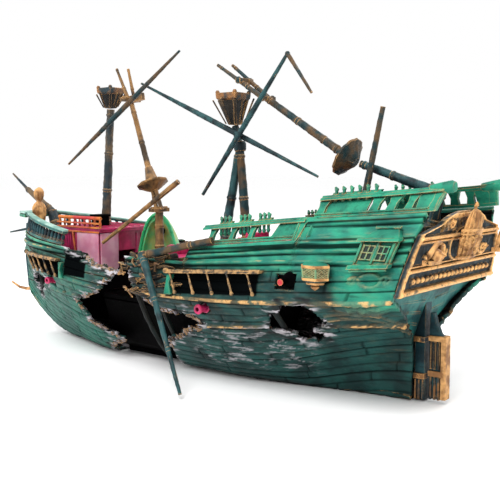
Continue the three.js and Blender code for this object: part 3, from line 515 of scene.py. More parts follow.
def poop_rail_top(x):
    return 65.2 + 4.3 * (x - POOP_X) / 30


def slot_half_width(x):
    fade = np.where(x > 18, 1 - smooth(x, 18, 48), smooth(x, -49, -48.2))
    return KEEL_HALF_WIDTH + GAP + (HOLD_HALF_WIDTH - KEEL_HALF_WIDTH) * fade


def on_hull(x, z, out, side):
    """A point on the hull's side, moved out from it."""
    return vec(x + float(counter_shift(x, z)), side * (float(half_breadth(x, z)) + out), z)


# ---- hull skins: outlines of the torn ends, holes and gunports, as (x, z) on the hull's side ----
SKIN_THICKNESS = 1.5
STERN_BREAK = {
    PORT: [(-25, 60), (-25, 46), (-20, 38), (-16, 31), (-6, 25.2), (9.5, 24.3), (12.6, 22.4), (10.8, 19.4),
           (4.8, 18.7), (-1.3, 14.9), (-8.7, 12.4), (-9.3, 8), (-12, -2), (-60, -5), (-60, 60)],
    STARBOARD: [(-20, 60), (-20, 46), (-24, 38), (-17, 30), (-20, 22), (-15, 12), (-21, -2), (-60, -5),
                (-60, 60)],
}
STERN_HOLE = {
    PORT: [(40, 22.6), (43.7, 28.3), (46.6, 29.1), (49.9, 32.4), (56.3, 33.1), (58.5, 27.2), (53.6, 22),
           (55.8, 20.8), (52.6, 18.9), (49.2, 18.6), (48, 20.5), (45, 22.2)],
    STARBOARD: [(24, 24), (34, 27), (43, 23), (41, 16), (30, 14)],
}
STERN_PORTS = [[(48, 37.8), (53.6, 38.2), (53.6, 42.8), (48, 42.4)],
               [(14, 28), (19, 30.5), (20, 27.5), (16, 25.5)]]
BOW_BREAK = {
    PORT: [(-60.5, 60), (-60.5, 44.5), (-50.1, 44.3), (-39.6, 38.9), (-25.5, 37.8), (-39, 28.5),
           (-58.5, 22.3), (-54, 13.9), (-45.8, 11.7), (-36, 8), (-45, 4.6), (-50.5, 1.6), (-50, -3),
           (0, -3), (0, 60)],
    STARBOARD: [(-56, 60), (-56, 44.5), (-47, 40), (-50, 34), (-40, 31), (-48, 24), (-56, 18), (-50, 9),
                (-51, -3), (0, -3), (0, 60)],
}
BOW_HOLE = {
    PORT: [(-111, 26.5), (-97, 30), (-85, 28.2), (-95, 24), (-106, 18.5)],
    STARBOARD: [(-106, 29), (-98, 28), (-95, 23), (-98, 18), (-105, 21)],
}
BOW_PORT = [(-80, 26.5), (-74, 26.5), (-74, 31.5), (-80, 31.5)]


def inside_depth(outline, x, z):
    """How far each point lies inside a closed outline, negative outside."""
    inside = np.zeros(x.shape, bool)
    nearest = np.full(x.shape, 1e9)
    for (ax, az), (bx, bz) in zip(outline, outline[1:] + outline[:1]):
        crosses = (az > z) != (bz > z)
        level = np.where(crosses, (bx - ax) * (z - az) / (bz - az if bz != az else 1e-9) + ax, np.inf)
        inside ^= crosses & (x < level)
        length = max((bx - ax) ** 2 + (bz - az) ** 2, 1e-9)
        t = np.clip(((x - ax) * (bx - ax) + (z - az) * (bz - az)) / length, 0, 1)
        nearest = np.minimum(nearest, np.hypot(x - ax - t * (bx - ax), z - az - t * (bz - az)))
    return np.where(inside, nearest, -nearest)


def field(x, z, scale, seed, octaves=2):
    """Smooth noise over a grid of points."""
    spots = [Vector((a * scale, b * scale, seed)) for a, b in zip(x.ravel(), z.ravel())]
    return np.array([noise.fractal(spot, 1.0, 2.0, octaves) for spot in spots]).reshape(x.shape)


def ridge(distance, half, soft=0.35):
    """1 on a band of the given half width, falling to 0 past it."""
    return 1 - smooth(np.abs(distance), half, half + soft)


def section_rows(x, low_rows, high_rows):
    """Heights and half breadths up one section: the bilge evenly by length, then the topsides."""
    base, wale, top = float(keel_line(x)), float(wale_height(x)), float(plank_top(x))
    z = base + (wale - base) * np.linspace(0, 1, 60) ** 1.5
    y = half_breadth(np.full(60, x), z)
    z, y = np.insert(z, 0, base), np.insert(y, 0, float(slot_half_width(x)))
    run = np.concatenate([[0], np.cumsum(np.hypot(np.diff(y), np.diff(z)))])
    even = np.linspace(0, run[-1], low_rows)
    low_z, low_y = np.interp(even, run, z), np.interp(even, run, y)
    high_z = np.linspace(wale, top, high_rows + 1)[1:]
    high_y = half_breadth(np.full(high_rows, x), high_z)
    return np.concatenate([low_y, high_y]), np.concatenate([low_z, high_z])


def strakes(share, count, x, seed):
    """Planks side by side: how deep the seam is, and each plank's own small offset and butt joints."""
    number = np.floor(share * count)
    seam = np.abs((share * count) % 1 - 0.5) * 2
    rng = np.random.default_rng(seed)
    offset = rng.uniform(-0.16, 0.16, count + 2)[np.clip(number, 0, count).astype(int)]
    first = rng.uniform(0, 30, count + 2)[np.clip(number, 0, count).astype(int)]
    butt = 1 - smooth(np.abs((x + first) % 30 - 15), 0.15, 0.5)
    return smooth(seam, 0.78, 0.97), offset, butt


def hull_skin(name, side, xs, cuts, ports, bands, shaded_recess, ornament, node, body):
    """One planked side of the hull, with its bands, holes and torn edges.

    Each band is (height at x, half width, how proud, how gilt). The lift is in millimetres out from
    the hull; gold, torn, dark and shade are paint masks from 0 to 1. Dark holds the plank joints,
    a painted shadow under each band and painted shade in the recesses.
    """
    low_rows, high_rows = 96, 62
    rows = [section_rows(x, low_rows, high_rows) for x in xs]
    y = np.array([r[0] for r in rows])
    z = np.array([r[1] for r in rows])
    x = np.repeat(np.array(xs)[:, None], z.shape[1], 1)
    share = np.repeat(np.arange(z.shape[1])[None, :], len(xs), 0) / (low_rows - 1)
    seam, offset, butt = strakes(np.clip(share, 0, 1), 15, x, 3)
    high_seam, high_offset, high_butt = strakes(np.clip((z - wale_height(x)) / 30, 0, 1), 9, x, 5)
    planked = 1 - smooth(z, 43.5, 45) * smooth(x, -60, 0)
    high_seam, high_offset, high_butt = high_seam * planked, high_offset * planked, high_butt * planked
    low = share < 1
    pairs = ((seam, high_seam), (offset, high_offset), (butt, high_butt))
    seam, offset, butt = (np.where(low, a, b) for a, b in pairs)
    grain = field(x * 0.25, z, 0.9, 4.0 + side)
    patch = smooth(field(x, z, 0.12, 13.0 + side), -0.15, 0.35)
    lift = offset + 0.16 * grain - 0.5 * seam - 0.3 * butt
    lip = smooth(seam, 0.0, 0.4) * (1 - smooth(seam, 0.4, 0.8))
    gold = (0.12 * smooth(grain, 0.05, 0.5) + 0.75 * lip * patch) * smooth(z, 6, 30)
    dark = np.maximum(0.85 * seam, 0.6 * butt)
    for middle, half, height, gilt in bands:
        distance = z - middle(x)
        band = ridge(distance, half, 0.2)
        lift = np.where(band > 0, lift * (1 - band) + carving(distance, half + 0.2, height), lift)
        worn = 0.5 + 0.5 * smooth(grain, -0.3, 0.1)
        bright = band if gilt > 0.85 else ridge(distance - half * 0.6, 0.2, 0.15) * smooth(grain, -0.2, 0.2)
        gold = np.maximum(gold * (1 - band), bright * gilt * worn)
        # Painted shadow: a dark line along the lower edge of each band, where the proud band shades the side
        # below.
        dark = np.maximum(dark * (1 - band), 0.9 * ridge(distance + half + 0.45, 0.25, 0.2))
    carved, gilded, scraped = ornament(x, z)
    lift = lift + carved
    # Painted shade: the recesses are not sunk, only painted black where shade lies under the channel ledges.
    recess_shade = shaded_recess(x, z)
    gold = np.maximum(gold, gilded) * (1 - recess_shade)
    dark = np.maximum(dark * (1 - gilded), recess_shade)
    depth = np.max([inside_depth(cut, x, z) for cut in cuts], 0)
    ragged = depth + 1.0 * field(x, z, 0.55, 9.0 + side) + 0.5 * field(x, z, 1.7, 2.0 + side)
    ragged = np.maximum(ragged, np.max([inside_depth(port, x, z) for port in ports], 0))
    torn = np.maximum(smooth(depth + 3.6 * field(x * 0.2, z, 0.8, 15.0 + side), -3.2, -0.3), scraped)
    lift = lift + torn * (0.35 * field(x, z, 1.2, 7.0, 3) - 0.2)
    gold = gold * (1 - 0.8 * torn)
    dark = dark * (1 - 0.5 * torn)
    deep = 0.1 + 0.35 * (1 - smooth(x, -60, -30))
    shade = (deep + (1 - deep) * smooth(z + 9 * smooth(x, 60, 68), 41, 45)) * (0.8 + 0.2 * patch)
    out_y = np.gradient(z, axis=1)
    out_z = -np.gradient(y, axis=1)
    size = np.hypot(out_y, out_z) + 1e-9
    y, level = y + lift * out_y / size, z + lift * out_z / size
    points = np.stack([x + counter_shift(x, z), side * y, level], -1)
    points[..., 2] = np.maximum(points[..., 2], keel_line(x))
    grid = np.arange(x.size).reshape(x.shape)
    keep = ragged < 0
    kept = keep[:-1, :-1] & keep[1:, :-1] & keep[1:, 1:] & keep[:-1, 1:]
    quads = np.stack([grid[:-1, :-1], grid[1:, :-1], grid[1:, 1:], grid[:-1, 1:]], -1)[kept]
    mesh = bpy.data.meshes.new(name)
    mesh.from_pydata((points.reshape(-1, 3) * MM).tolist(), [], quads.tolist())
    paint_attribute(mesh, gold.ravel(), torn.ravel(), dark.ravel())
    layer = mesh.attributes.new("shade", "FLOAT", "POINT")
    layer.data.foreach_set("value", shade.astype(np.float32).ravel())
    finish_skin(name, mesh, node, body, side)


def finish_skin(name, mesh, node, body, side):
    """Drops loose points, gives the skin its thickness and hands it over."""
    bm = bmesh.new()
    bm.from_mesh(mesh)
    bmesh.ops.delete(bm, geom=[v for v in bm.verts if not v.link_faces], context="VERTS")
    islands = sorted(face_islands(bm), key=len, reverse=True)
    bmesh.ops.delete(bm, geom=[f for island in islands[1:] for f in island], context="FACES")
    bmesh.ops.delete(bm, geom=[v for v in bm.verts if not v.link_faces], context="VERTS")
    if bm.faces and np.mean([f.normal.y * side for f in bm.faces]) < 0:
        bmesh.ops.reverse_faces(bm, faces=bm.faces)
    bm.to_mesh(mesh)
    bm.free()
    obj = bpy.data.objects.new(name, mesh)
    bpy.context.scene.collection.objects.link(obj)
    mesh.materials.append(paint["hull"])
    mesh.materials.append(paint["inner"])
    mesh.polygons.foreach_set("use_smooth", [True] * len(mesh.polygons))
    skin = obj.modifiers.new("thickness", "SOLIDIFY")
    skin.thickness = SKIN_THICKNESS * MM
    skin.offset = -1
    skin.material_offset = 1
    skin.material_offset_rim = 0
    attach(obj, body)
    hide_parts(node)


def face_islands(bm):
    """Groups of faces that touch along edges."""
    left, islands = set(bm.faces), []
    while left:
        stack, island = [left.pop()], []
        while stack:
            face = stack.pop()
            island.append(face)
            for edge in face.edges:
                for other in edge.link_faces:
                    if other in left:
                        left.remove(other)
                        stack.append(other)
        islands.append(island)
    return islands


def line(base, slope=0.0, at=0.0):
    """A height that rises evenly with x."""
    return lambda x: base + slope * (x - at)


def stern_ornament(x, z):
    """The oval boss with its scrolls, the carved knee and the straps near the stern."""
    angle = np.linspace(0, math.tau, 50)
    boss = np.stack([72.5 + 2.7 * np.cos(angle), 42.9 + 2.0 * np.sin(angle)], 1)
    lines = [boss, scroll((68.4, 42.2), 1.1, 0.3, 1.6, 36, 1), scroll((76.8, 43.2), 1.1, 2.8, 1.6, 36, -1)]
    run = np.linspace(0, 1, 60)
    straps = [np.stack([60 + 20 * run, base + bow * np.sin(2.6 * run) - fall * run ** 3], 1)
              for base, bow, fall in ((29.6, 2.4, 4.5), (27.8, 2.2, 5))]
    half, proud = 0.45, 0.7
    fine, strap = (np.maximum.reduce([carving(near(curve, x, z), half, proud) for curve in curves])
                   for curves in (lines, straps))
    knee_size = 1 - np.hypot((x - 71.5 - 0.5 * (z - 33)) / 6.5, (z - 33.2) / 3.6)
    knee = smooth(knee_size, 0, 0.5) * (0.9 + 0.9 * field(x, z, 0.7, 31.0, 3))
    lift = np.maximum.reduce([fine, strap, knee])
    gilded = np.clip(np.maximum.reduce([0.5 * fine / proud, 0.55 * strap / proud, 0.3 * knee]), 0, 1)
    streaks = smooth(field(x * 0.12, z, 1.5, 44.0, 3), 0.0, 0.3)
    scraped = 0.6 * streaks * ridge(x - 27, 18, 8) * ridge(z - 14.5, 6.5, 4)
    return lift, gilded, scraped


def plain(x, z):
    """No ornament: the same three masks, all blank."""
    blank = np.zeros(x.shape)
    return blank, blank, blank


def stern_skins():
    # Where painted shade lies: behind the channel's struts, under its ledge.
    def shaded_recess(x, z):
        return ridge(x - 21.5, 19.5, 0.6) * ridge(z - 35.6 - 0.07 * (x - 1.5), 3.3, 0.5)

    def low_strake(x):
        """A height along the bilge, dropped out of sight past the hole."""
        return np.where((x < 41) | (x > 57), 19.8 + 0.095 * x, -99)

    bands = [(lambda x: wale_height(x) + 0.2, 0.45, 1.1, 0.9), (low_strake, 0.4, 0.8, 0.9),
             (line(46.9, 0.11, WAIST_X), 0.6, 1.0, 0.65), (line(48.4, 0.1, WAIST_X), 0.4, 0.7, 0.4),
             (line(45.2, 0.1, WAIST_X), 0.4, 0.7, 0.4), (line(42.9, 0.08, WAIST_X), 0.45, 0.7, 0.5),
             (line(58.0, 0.11, POOP_X), 0.5, 0.9, 0.65), (line(52.2, 0.1, POOP_X), 0.4, 0.7, 0.7),
             (line(53.6, 0.1, POOP_X), 0.3, 0.5, 0.3), (lambda x: plank_top(x) - 0.5, 0.5, 0.6, 0.4)]
    runs = ((-27, HULL_AFT, 236), (WAIST_X - 1, WAIST_X + 1, 8), (POOP_X - 1, POOP_X + 1, 8))
    xs = np.unique(np.concatenate([np.linspace(*run) for run in runs]))
    for side, end in SIDES:
        cuts = [STERN_BREAK[side], STERN_HOLE[side]]
        hull_skin(f"stern_planking_{end}", side, xs, cuts, STERN_PORTS, bands, shaded_recess, stern_ornament,
                  f"stern_hull_{end}", STERN)


def bow_skins():
    # Where painted shade lies under the bow channel's ledge, and a second patch painted dark near the break.
    def shaded_recess(x, z):
        channel = ridge(x + 82, 20, 0.8) * ridge(z - 35.0, 3.3, 0.5)
        return np.maximum(channel, ridge(x + 53, 7.5, 0.6) * ridge(z - 38.4, 4.9, 0.6))

    bands = [(line(42.5), 0.8, 1.4, 0.8), (lambda x: wale_height(x) - 1.2, 0.7, 1.0, 0.5),
             (line(24.5), 0.4, 0.6, 0.3), (line(44.6), 0.4, 0.6, 0.3),
             (lambda x: plank_top(x) - 0.5, 0.5, 0.6, 0.4)]
    xs = np.linspace(-121, -25, 228)
    for side, end in SIDES:
        cuts = [BOW_BREAK[side], BOW_HOLE[side]]
        hull_skin(f"bow_planking_{end}", side, xs, cuts, [BOW_PORT], bands, shaded_recess, plain,
                  f"bow_hull_{end}", BOW)


# ---- shared fittings ----
def strip(form, xs, low, high, depth, proud, side):
    """A strake of square section along the hull's side."""
    rings = []
    for x in xs:
        corners = ((low(x), -depth), (low(x), proud), (high(x), proud), (high(x), -depth))
        rings.append([on_hull(x, z, out, side) for z, out in corners])
    return form.loft(rings)


def bead(form, xs, height, radius, out, side):
    """A round moulding along the hull's side."""
    form.rod([on_hull(x, height(x), out, side) for x in xs], radius, 8)


def board(form, outline, outs, side):
    """A flat outline of (x, z) on the hull's side, as thick as the two distances out from it."""
    return form.loft([[on_hull(x, z, out, side) for x, z in outline] for out in outs])


def deck_planks(form, x0, x1, top, count):
    """Planks laid fore and aft, trimmed to the hull."""
    thickness, inset = 1.6, 3.2
    xs = np.linspace(x0, x1, 14)
    edges = [max(1.0, float(half_breadth(x, [top, top - thickness]).min()) - inset) for x in xs]
    wide = max(edges)
    for i in range(count):
        y0 = -wide + 2 * wide * i / count + 0.09
        y1 = -wide + 2 * wide * (i + 1) / count - 0.09
        rings = []
        for x, edge in zip(xs, edges):
            a, b = max(-edge, min(edge - 0.05, y0)), min(edge, max(-edge + 0.05, y1))
            rings.append([(x, a, top - thickness), (x, b, top - thickness), (x, b, top), (x, a, top)])
        form.loft(rings)
    return form


def shards(name, outline, side, body, inward, count, reach):
    """Splintered plank ends and chips standing along a torn edge, pointing fore (-1) or aft (1)."""
    form = Form()
    rng = random.Random(len(outline) * 7 + count + side)
    spans = list(zip(outline, outline[1:]))
    for i in range(count):
        (ax, az), (bx, bz) = spans[i % len(spans)]
        t = rng.random()
        x, z = ax + (bx - ax) * t, az + (bz - az) * t
        if z < 2.5 or z > float(plank_top(x)) - 1:
            continue
        length, height = rng.uniform(0.6, 1) * reach, rng.uniform(0.7, 1.7)
        x -= inward * 1.4
        tilt = rng.uniform(-0.8, 0.8)
        low, high = z - height / 2, z + height / 2
        root = [on_hull(x, low, -1.5, side), on_hull(x, high, -1.5, side)]
        root += [on_hull(x, level, rng.uniform(-0.2, 0.4), side) for level in (high, low)]
        tip = on_hull(x + inward * length, z + tilt, rng.uniform(-1.2, 0.2), side)
        form.loft([root, [tip + (p - tip) * 0.12 for p in root]])
    piece(name, form, "torn", body, None, bevel=0.08, wobble=0.3)


def scroll(centre, turns, start, size, count=40, hand=1):
    """Points of a spiral, tightening towards its centre, as flat (u, v) pairs."""
    t = np.linspace(0, 1, count)
    angle = start + hand * turns * math.tau * t
    radius = size * (1 - 0.85 * t)
    return np.stack([centre[0] + radius * np.cos(angle), centre[1] + radius * np.sin(angle)], 1)


def near(points, u, v):
    """Each grid point's distance to the nearest of some points."""
    best = np.full(u.shape, 1e9)
    for pu, pv in points:
        best = np.minimum(best, (u - pu) ** 2 + (v - pv) ** 2)
    return np.sqrt(best)


def carving(distance, half, height):
    """A rounded raised line."""
    return height * np.sqrt(np.clip(1 - (distance / half) ** 2, 0, 1))


# ---- stern section ----
def hold_and_ballast():
    """The black hold seen through the break, and plain paint for the CAD solids hidden inside."""
    def half(x, z):
        return min(HOLD_HALF_WIDTH + 0.62 * (float(half_breadth(x, z)) - HOLD_HALF_WIDTH), 24)

    form = Form()
    rings = []
    for x in np.linspace(-48, 17.7, 40):
        levels = [(HOLD_HALF_WIDTH - GAP, 0), (HOLD_HALF_WIDTH - GAP, 2.1)]
        levels += [(half(x, z), z) for z in np.linspace(6, HOLD_HEIGHT, 16)]
        right = [(x, y, z) for y, z in levels]
        rings.append(right + [(x, -y, z) for y, z in levels[::-1]])
    form.loft(rings)
    for x in (-38, -26, -14, -2):
        form.box(x - 0.5, x + 0.5, -half(x, 23) - 0.25, half(x, 23) + 0.25, 23, HOLD_HEIGHT + 0.1)
    piece("hold_shell", form, "black", STERN, "hold_hull", bevel=0.5)
    for node, look in (("hold_cover", "black"), ("ballast_slab", "iron"), ("pivot_pin", "steel"),
                       ("air_nipple", "black"), ("air_tube", "black"), ("air_bell", "black")):
        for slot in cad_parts[node].material_slots:
            slot.material = paint[look]


def keel_and_post():
    """The keel, the sternpost with its straps and tassels, and the planks of the tuck."""
    def edge(z):
        return max(1, float(half_breadth(HULL_AFT, z)) - 2.9)

    form = Form()
    keel_top = 3.4
    rings = []
    for x in np.linspace(18.3, 79.5, 24):
        half = float(slot_half_width(x)) - GAP
        rings.append([(x, -half, 0), (x, half, 0), (x, half, keel_top), (x, -half, keel_top)])
    form.loft(rings)
    piece("stern_keel_timber", form, "slate", STERN, "stern_keel", bevel=0.2, wobble=0.1)

    form = Form().box(80.2, 84, -2.2, 2.2, 0.2, 33)
    piece("sternpost_timber", form, "slate", STERN, "sternpost", bevel=0.2, wobble=0.25)
    form = Form()
    for z in (7.4, 19.6):
        form.box(80.1, 84.1, -3, 3, z, z + 1.8)
        for y in (-3.1, 3.1):
            form.ball((82, y, z + 0.8), 0.5, 8)
    for y in (-2.3, 2.3):
        for x in (80.8, 82.1, 83.4):
            form.rod([(x, y, 0.6), (x, y, 7)], [0.45, 0.3], 6, rough=0.3)
    piece("sternpost_straps", form, "gold", STERN, None, bevel=0.2, wobble=0.2)

    form = Form()
    levels = np.linspace(4.5, 37, 22)
    rings = []
    for x in (HULL_AFT - 4.2, HULL_AFT - 2.6):
        right = [(x + float(counter_shift(HULL_AFT, z)), edge(z), z) for z in levels]
        rings.append(right + [(a, -b, c) for a, b, c in right[::-1]])
    form.loft(rings)
    for i in range(7):
        z = 9 + 4.1 * i
        x = HULL_AFT - 2.6 + float(counter_shift(HULL_AFT, z))
        for side in (PORT, STARBOARD):
            form.beam((x, side * 3.6, z), (x + 0.2, side * (edge(z) - 0.3), z + 1.6), 0.7, 0.7)
    piece("stern_tuck_planks", form, "bow_rail", STERN, "stern_tuck", bevel=0.2)


TRANSOM_SHOULDER = 56.8
TRANSOM_AXIS = vec(0.235, 0, 1)
BEEHIVE_FLATNESS = 0.6


def on_transom(out, y, z):
    """A point out from the raking transom."""
    return vec(HULL_AFT + GAP + out + float(counter_shift(HULL_AFT, z)), y, z)


def transom_relief(y, z, edge):
    """How far the transom's carving stands out: ledges, beads, scrolls, arch planks and an oval ring."""
    grain = field(y, z, 0.5, 21.0, 3)
    height = 0.25 * grain
    height = height + carving(np.minimum(edge, 62.5 - z) - 1.0, 1.0, 1.0)
    for level, wide, proud in ((39.4, 0.9, 1.6), (45.9, 0.7, 1.4), (47.2, 0.4, 0.8), (54.2, 0.5, 1.0),
                               (55.4, 0.7, 1.5)):
        height = np.maximum(height, carving(z - level, wide, proud) * (edge > 0.5))
    for k in range(19):
        for first, radius, proud in ((-27, 1.05, 1.3), (-25.5, 0.4, 0.7)):
            height = np.maximum(height, carving(np.hypot(y - first - 3 * k, z - 42.7), radius, proud))
    for side in (PORT, STARBOARD):
        curves = [scroll((side * 12.5, 51), 1.4, math.pi if side > 0 else 0, 3.4, 60, side),
                  scroll((side * 19, 49.8), 1.3, 0.4 if side > 0 else math.pi - 0.4, 2.4, 50, -side),
                  scroll((side * 9.5, 59.4), 1.1, 0.2, 1.7, 40, side)]
        stem = np.stack([side * np.linspace(9, 23, 50), 49.2 + 1.2 * np.sin(np.linspace(0, 7, 50))], 1)
        for curve in curves + [stem]:
            height = np.maximum(height, carving(near(curve, y, z), 0.55, 1.15))
    arch = (z > TRANSOM_SHOULDER) & (np.abs(y) < 15)
    planks = 0.5 * ridge((y / 2.6) % 1 - 0.5, 0.36, 0.1) + 0.3 * grain
    height = np.where(arch, np.maximum(height, planks), height)
    around = np.linspace(0, math.tau, 90)
    ring = near(np.stack([7.0 * np.cos(around), 52.4 + 5.2 * np.sin(around)], 1), y, z)
    return np.maximum(height, carving(ring, 0.5, 0.9))


def transom():
    """The carved panel: a sheet with its relief worked out point by point."""
    levels = np.linspace(38.5, 62.8, 106)
    spring, arch_rise, arch_start = 57.3, 5.6, 0.35
    crown, crown_half = spring + arch_rise * math.sin(arch_start), 16.5
    side_half = half_breadth(np.full(levels.size, HULL_AFT), np.minimum(levels, TRANSOM_SHOULDER)) - 0.4
    slope = side_half + (crown_half - side_half) * (levels - TRANSOM_SHOULDER) / (crown - TRANSOM_SHOULDER)
    rounding = np.sqrt(np.clip(1 - ((levels - spring) / 5.62) ** 2, 0.001, 1))
    arc = crown_half / math.cos(arch_start) * rounding
    half = np.where(levels < TRANSOM_SHOULDER, side_half, np.where(levels < crown, slope, arc))
    share, z = np.meshgrid(np.linspace(-1, 1, 210), levels)
    y = share * half[:, None]
    height = transom_relief(y, z, (1 - np.abs(share)) * half[:, None])
    rake = counter_shift(np.full(z.shape, HULL_AFT), z)
    back = np.stack([HULL_AFT + GAP + rake, y, z], -1)
    front = np.stack([HULL_AFT + GAP + 0.9 + height + rake, y, z], -1)
    mesh = two_sided_sheet("transom_carving", front, back)
    gold = smooth(height, 0.35, 0.9).ravel()
    # Darker where the relief sits lowest, between the carvings: painted shade, together with the dark paint
    # the carving has there.
    dark = (0.8 * (1 - smooth(height, -0.2, 0.25))).ravel()
    paint_attribute(mesh, np.tile(gold, 2), np.zeros(gold.size * 2), np.tile(dark, 2))
    finish_piece("transom_carving", mesh, "carved", STERN, "transom_panel", 0, 40)


def transom_lantern():
    """Half a beehive in the middle of the transom, ringed and studded."""
    form = Form()
    base = on_transom(3.6, 0, 47.6)
    dome = [(0.3, 0), (4.6, 0), (5.3, 0.7), (5.0, 1.3), (5.6, 2), (5.9, 4.1), (5.9, 6.6), (5.2, 7.9),
            (5.7, 8.4), (5.8, 9), (5.2, 9.5), (5.0, 10.7), (4.6, 12.3), (3.7, 13.9), (2.6, 15.1),
            (1.0, 15.8), (0.8, 16.2), (1.4, 16.7), (0.9, 17.5), (0.2, 18)]
    half_turned(form, dome, base, 96, 18, 0.28)
    for h, r in ((0.9, 5.2), (8.1, 5.5), (9.2, 5.9)):
        half_turned(form, [(r, h - 0.45), (r + 0.4, h - 0.2), (r + 0.4, h + 0.2), (r, h + 0.45)], base, 40)
    rng = random.Random(4)
    for k in range(70):
        a, h = rng.uniform(-1.5, 1.5), rng.uniform(2.2, 7.4)
        at = base + TRANSOM_AXIS * h + vec(5.8 * math.cos(a) * BEEHIVE_FLATNESS, 5.8 * math.sin(a), 0)
        form.ball(at, rng.uniform(0.3, 0.6), 6)
    piece("transom_beehive", form, "gilt", STERN, "transom_lantern", wobble=0.15)


def transom_frame(side, end):
    """A carved bracket on the transom's ledge: a bar, two curling arms and a boss."""
    def rod_on_transom(points, radii):
        form.rod([on_transom(out, y + dy * side, z) for out, dy, z in points], radii, 8)

    form = Form()
    y = side * 25.5
    form.beam(on_transom(5.2, y - 3.6, 48.8), on_transom(5.2, y + 3.6, 48.8), 3, 1.4)
    rod_on_transom(((5.2, 3.4, 48.6), (5.6, 3.6, 51), (5.2, -0.4, 54.2), (5.0, -3, 54.6)),
                   [0.9, 0.8, 0.8, 0.6])
    rod_on_transom(((5.2, -3.2, 48.6), (5.4, -3.3, 51.5), (5.2, -2.8, 54.4)), [0.8, 0.7, 0.7])
    form.ball(on_transom(5.6, y, 50.9), 2.2, 12)
    form.ball(on_transom(7.4, y, 50.9), 0.9, 8)
    bracket = f"transom_bracket_{end}"
    piece(f"transom_frame_{end}", form, "gilt", STERN, bracket, bevel=0.15, wobble=0.15)


def half_turned(form, profile, base, sides, ribs=0, depth=0.0):
    """Half a turned shape, squeezed against the transom and sheared with its lean."""
    rings = []
    for radius, height in profile:
        ring = []
        for k in range(sides):
            a = math.pi * (k / (sides - 1) - 0.5)
            r = radius + depth * math.cos(ribs * a) * min(1, radius / 4)
            out = vec(BEEHIVE_FLATNESS * r * math.cos(a), r * math.sin(a), 0)
            ring.append(base + TRANSOM_AXIS * height + out)
        rings.append(ring)
    return form.loft(rings)


def two_sided_sheet(name, front, back):
    """A closed sheet from two grids of points."""
    rows, columns = front.shape[:2]
    grid = np.arange(rows * columns).reshape(rows, columns)
    other = grid + rows * columns
    front_faces = np.stack([grid[:-1, :-1], grid[:-1, 1:], grid[1:, 1:], grid[1:, :-1]], -1)
    back_faces = np.stack([other[:-1, :-1], other[1:, :-1], other[1:, 1:], other[:-1, 1:]], -1)
    faces = front_faces.reshape(-1, 4).tolist() + back_faces.reshape(-1, 4).tolist()
    rim = list(grid[0, :]) + list(grid[1:, -1]) + list(grid[-1, -2::-1]) + list(grid[-2:0:-1, 0])
    for a, b in zip(rim, rim[1:] + rim[:1]):
        faces.append((int(b), int(a), int(a) + rows * columns, int(b) + rows * columns))
    mesh = bpy.data.meshes.new(name)
    points = np.concatenate([front.reshape(-1, 3), back.reshape(-1, 3)]) * MM
    mesh.from_pydata(points.tolist(), [], faces)
    return mesh


def rail_foot(x):
    return float(plank_top(x)) + GAP


def rail_body(form, side, top, x0, x1, posts, groups, pins_each, step):
    """A bulwark rail: a two-part cap, a foot with a bead, shaped posts and groups of belaying pins."""
    xs = np.linspace(x0, x1, 24)
    strip(form, xs, top, lambda x: top(x) + 0.9, 2.0, 0.9, side)
    strip(form, xs, lambda x: top(x) + 0.9, lambda x: top(x) + 1.6, 1.6, 0.4, side)
    strip(form, xs, rail_foot, lambda x: rail_foot(x) + 1.1, 1.7, -0.1, side)
    bead(form, np.linspace(x0, x1 - 2, 20), lambda x: rail_foot(x) + 1.2, 0.35, 0.1, side)
    for x in posts:
        low, high = rail_foot(x) + 0.9, top(x) + 0.3
        middle = (low + high) / 2
        outline = [(x - 1.4, high), (x - 0.85, middle), (x - 1.1, low), (x + 1.1, low), (x + 0.85, middle),
                   (x + 1.4, high)]
        board(form, outline, (-1.6, -0.1), side)
    for start in groups:
        for k in range(pins_each):
            belaying_pin(form, start + step * k, top, side)
        ledge = np.linspace(start - 0.9, start + step * (pins_each - 1) + 0.9, 4)
        strip(form, ledge, lambda x: top(x) + 1.5, lambda x: top(x) + 2.3, 1.3, 0.2, side)


def quarter_rail(side, end):
    def wall_top(x):
        """The bulwark's closed wall, which rises quickly just before the poop."""
        rise = 0.25 + 0.75 * float(smooth(x, 41.3, 43.6))
        return rail_foot(x) + rise * max(0.3, quarter_rail_top(x) - rail_foot(x) + 0.2)

    form = Form()
    rail_body(form, side, quarter_rail_top, WAIST_X + 3.5, POOP_X, (15.9, 24.9, 32.9), (18.4, 26.7, 34.7),
              3, 1.75)
    strip(form, np.linspace(41.3, POOP_X, 26), rail_foot, wall_top, 1.6, -0.15, side)
    piece(f"quarter_rail_work_{end}", form, "rail", STERN, f"quarter_rail_{end}", bevel=0.12)


def poop_rail(side, end):
    top = poop_rail_top
    form = Form()
    rail_body(form, side, top, POOP_X + 1.5, HULL_AFT + 1.5, (54.6, 66.4, 70.0, 74.0, 80.3),
              (56.6, 60, 63.4), 2, 1.7)
    strip(form, np.linspace(POOP_X + 1.5, 64.8, 16), rail_foot, lambda x: top(x) + 0.2, 1.6, -0.9, side)
    board(form, [(76, rail_foot(76)), (82, rail_foot(82)), (82, top(82)), (75, top(75))], (-1.6, -0.2), side)
    end_cap = [on_hull(x, top(x) + 0.9, -0.4, side) for x in (77, 80, 83.2)]
    form.rod(end_cap + [end_cap[-1] + vec(0.9, 0, 0)], [1.3, 1.7, 1.9, 1.5], 16)
    piece(f"poop_rail_work_{end}", form, "rail", STERN, f"poop_rail_{end}", bevel=0.12)


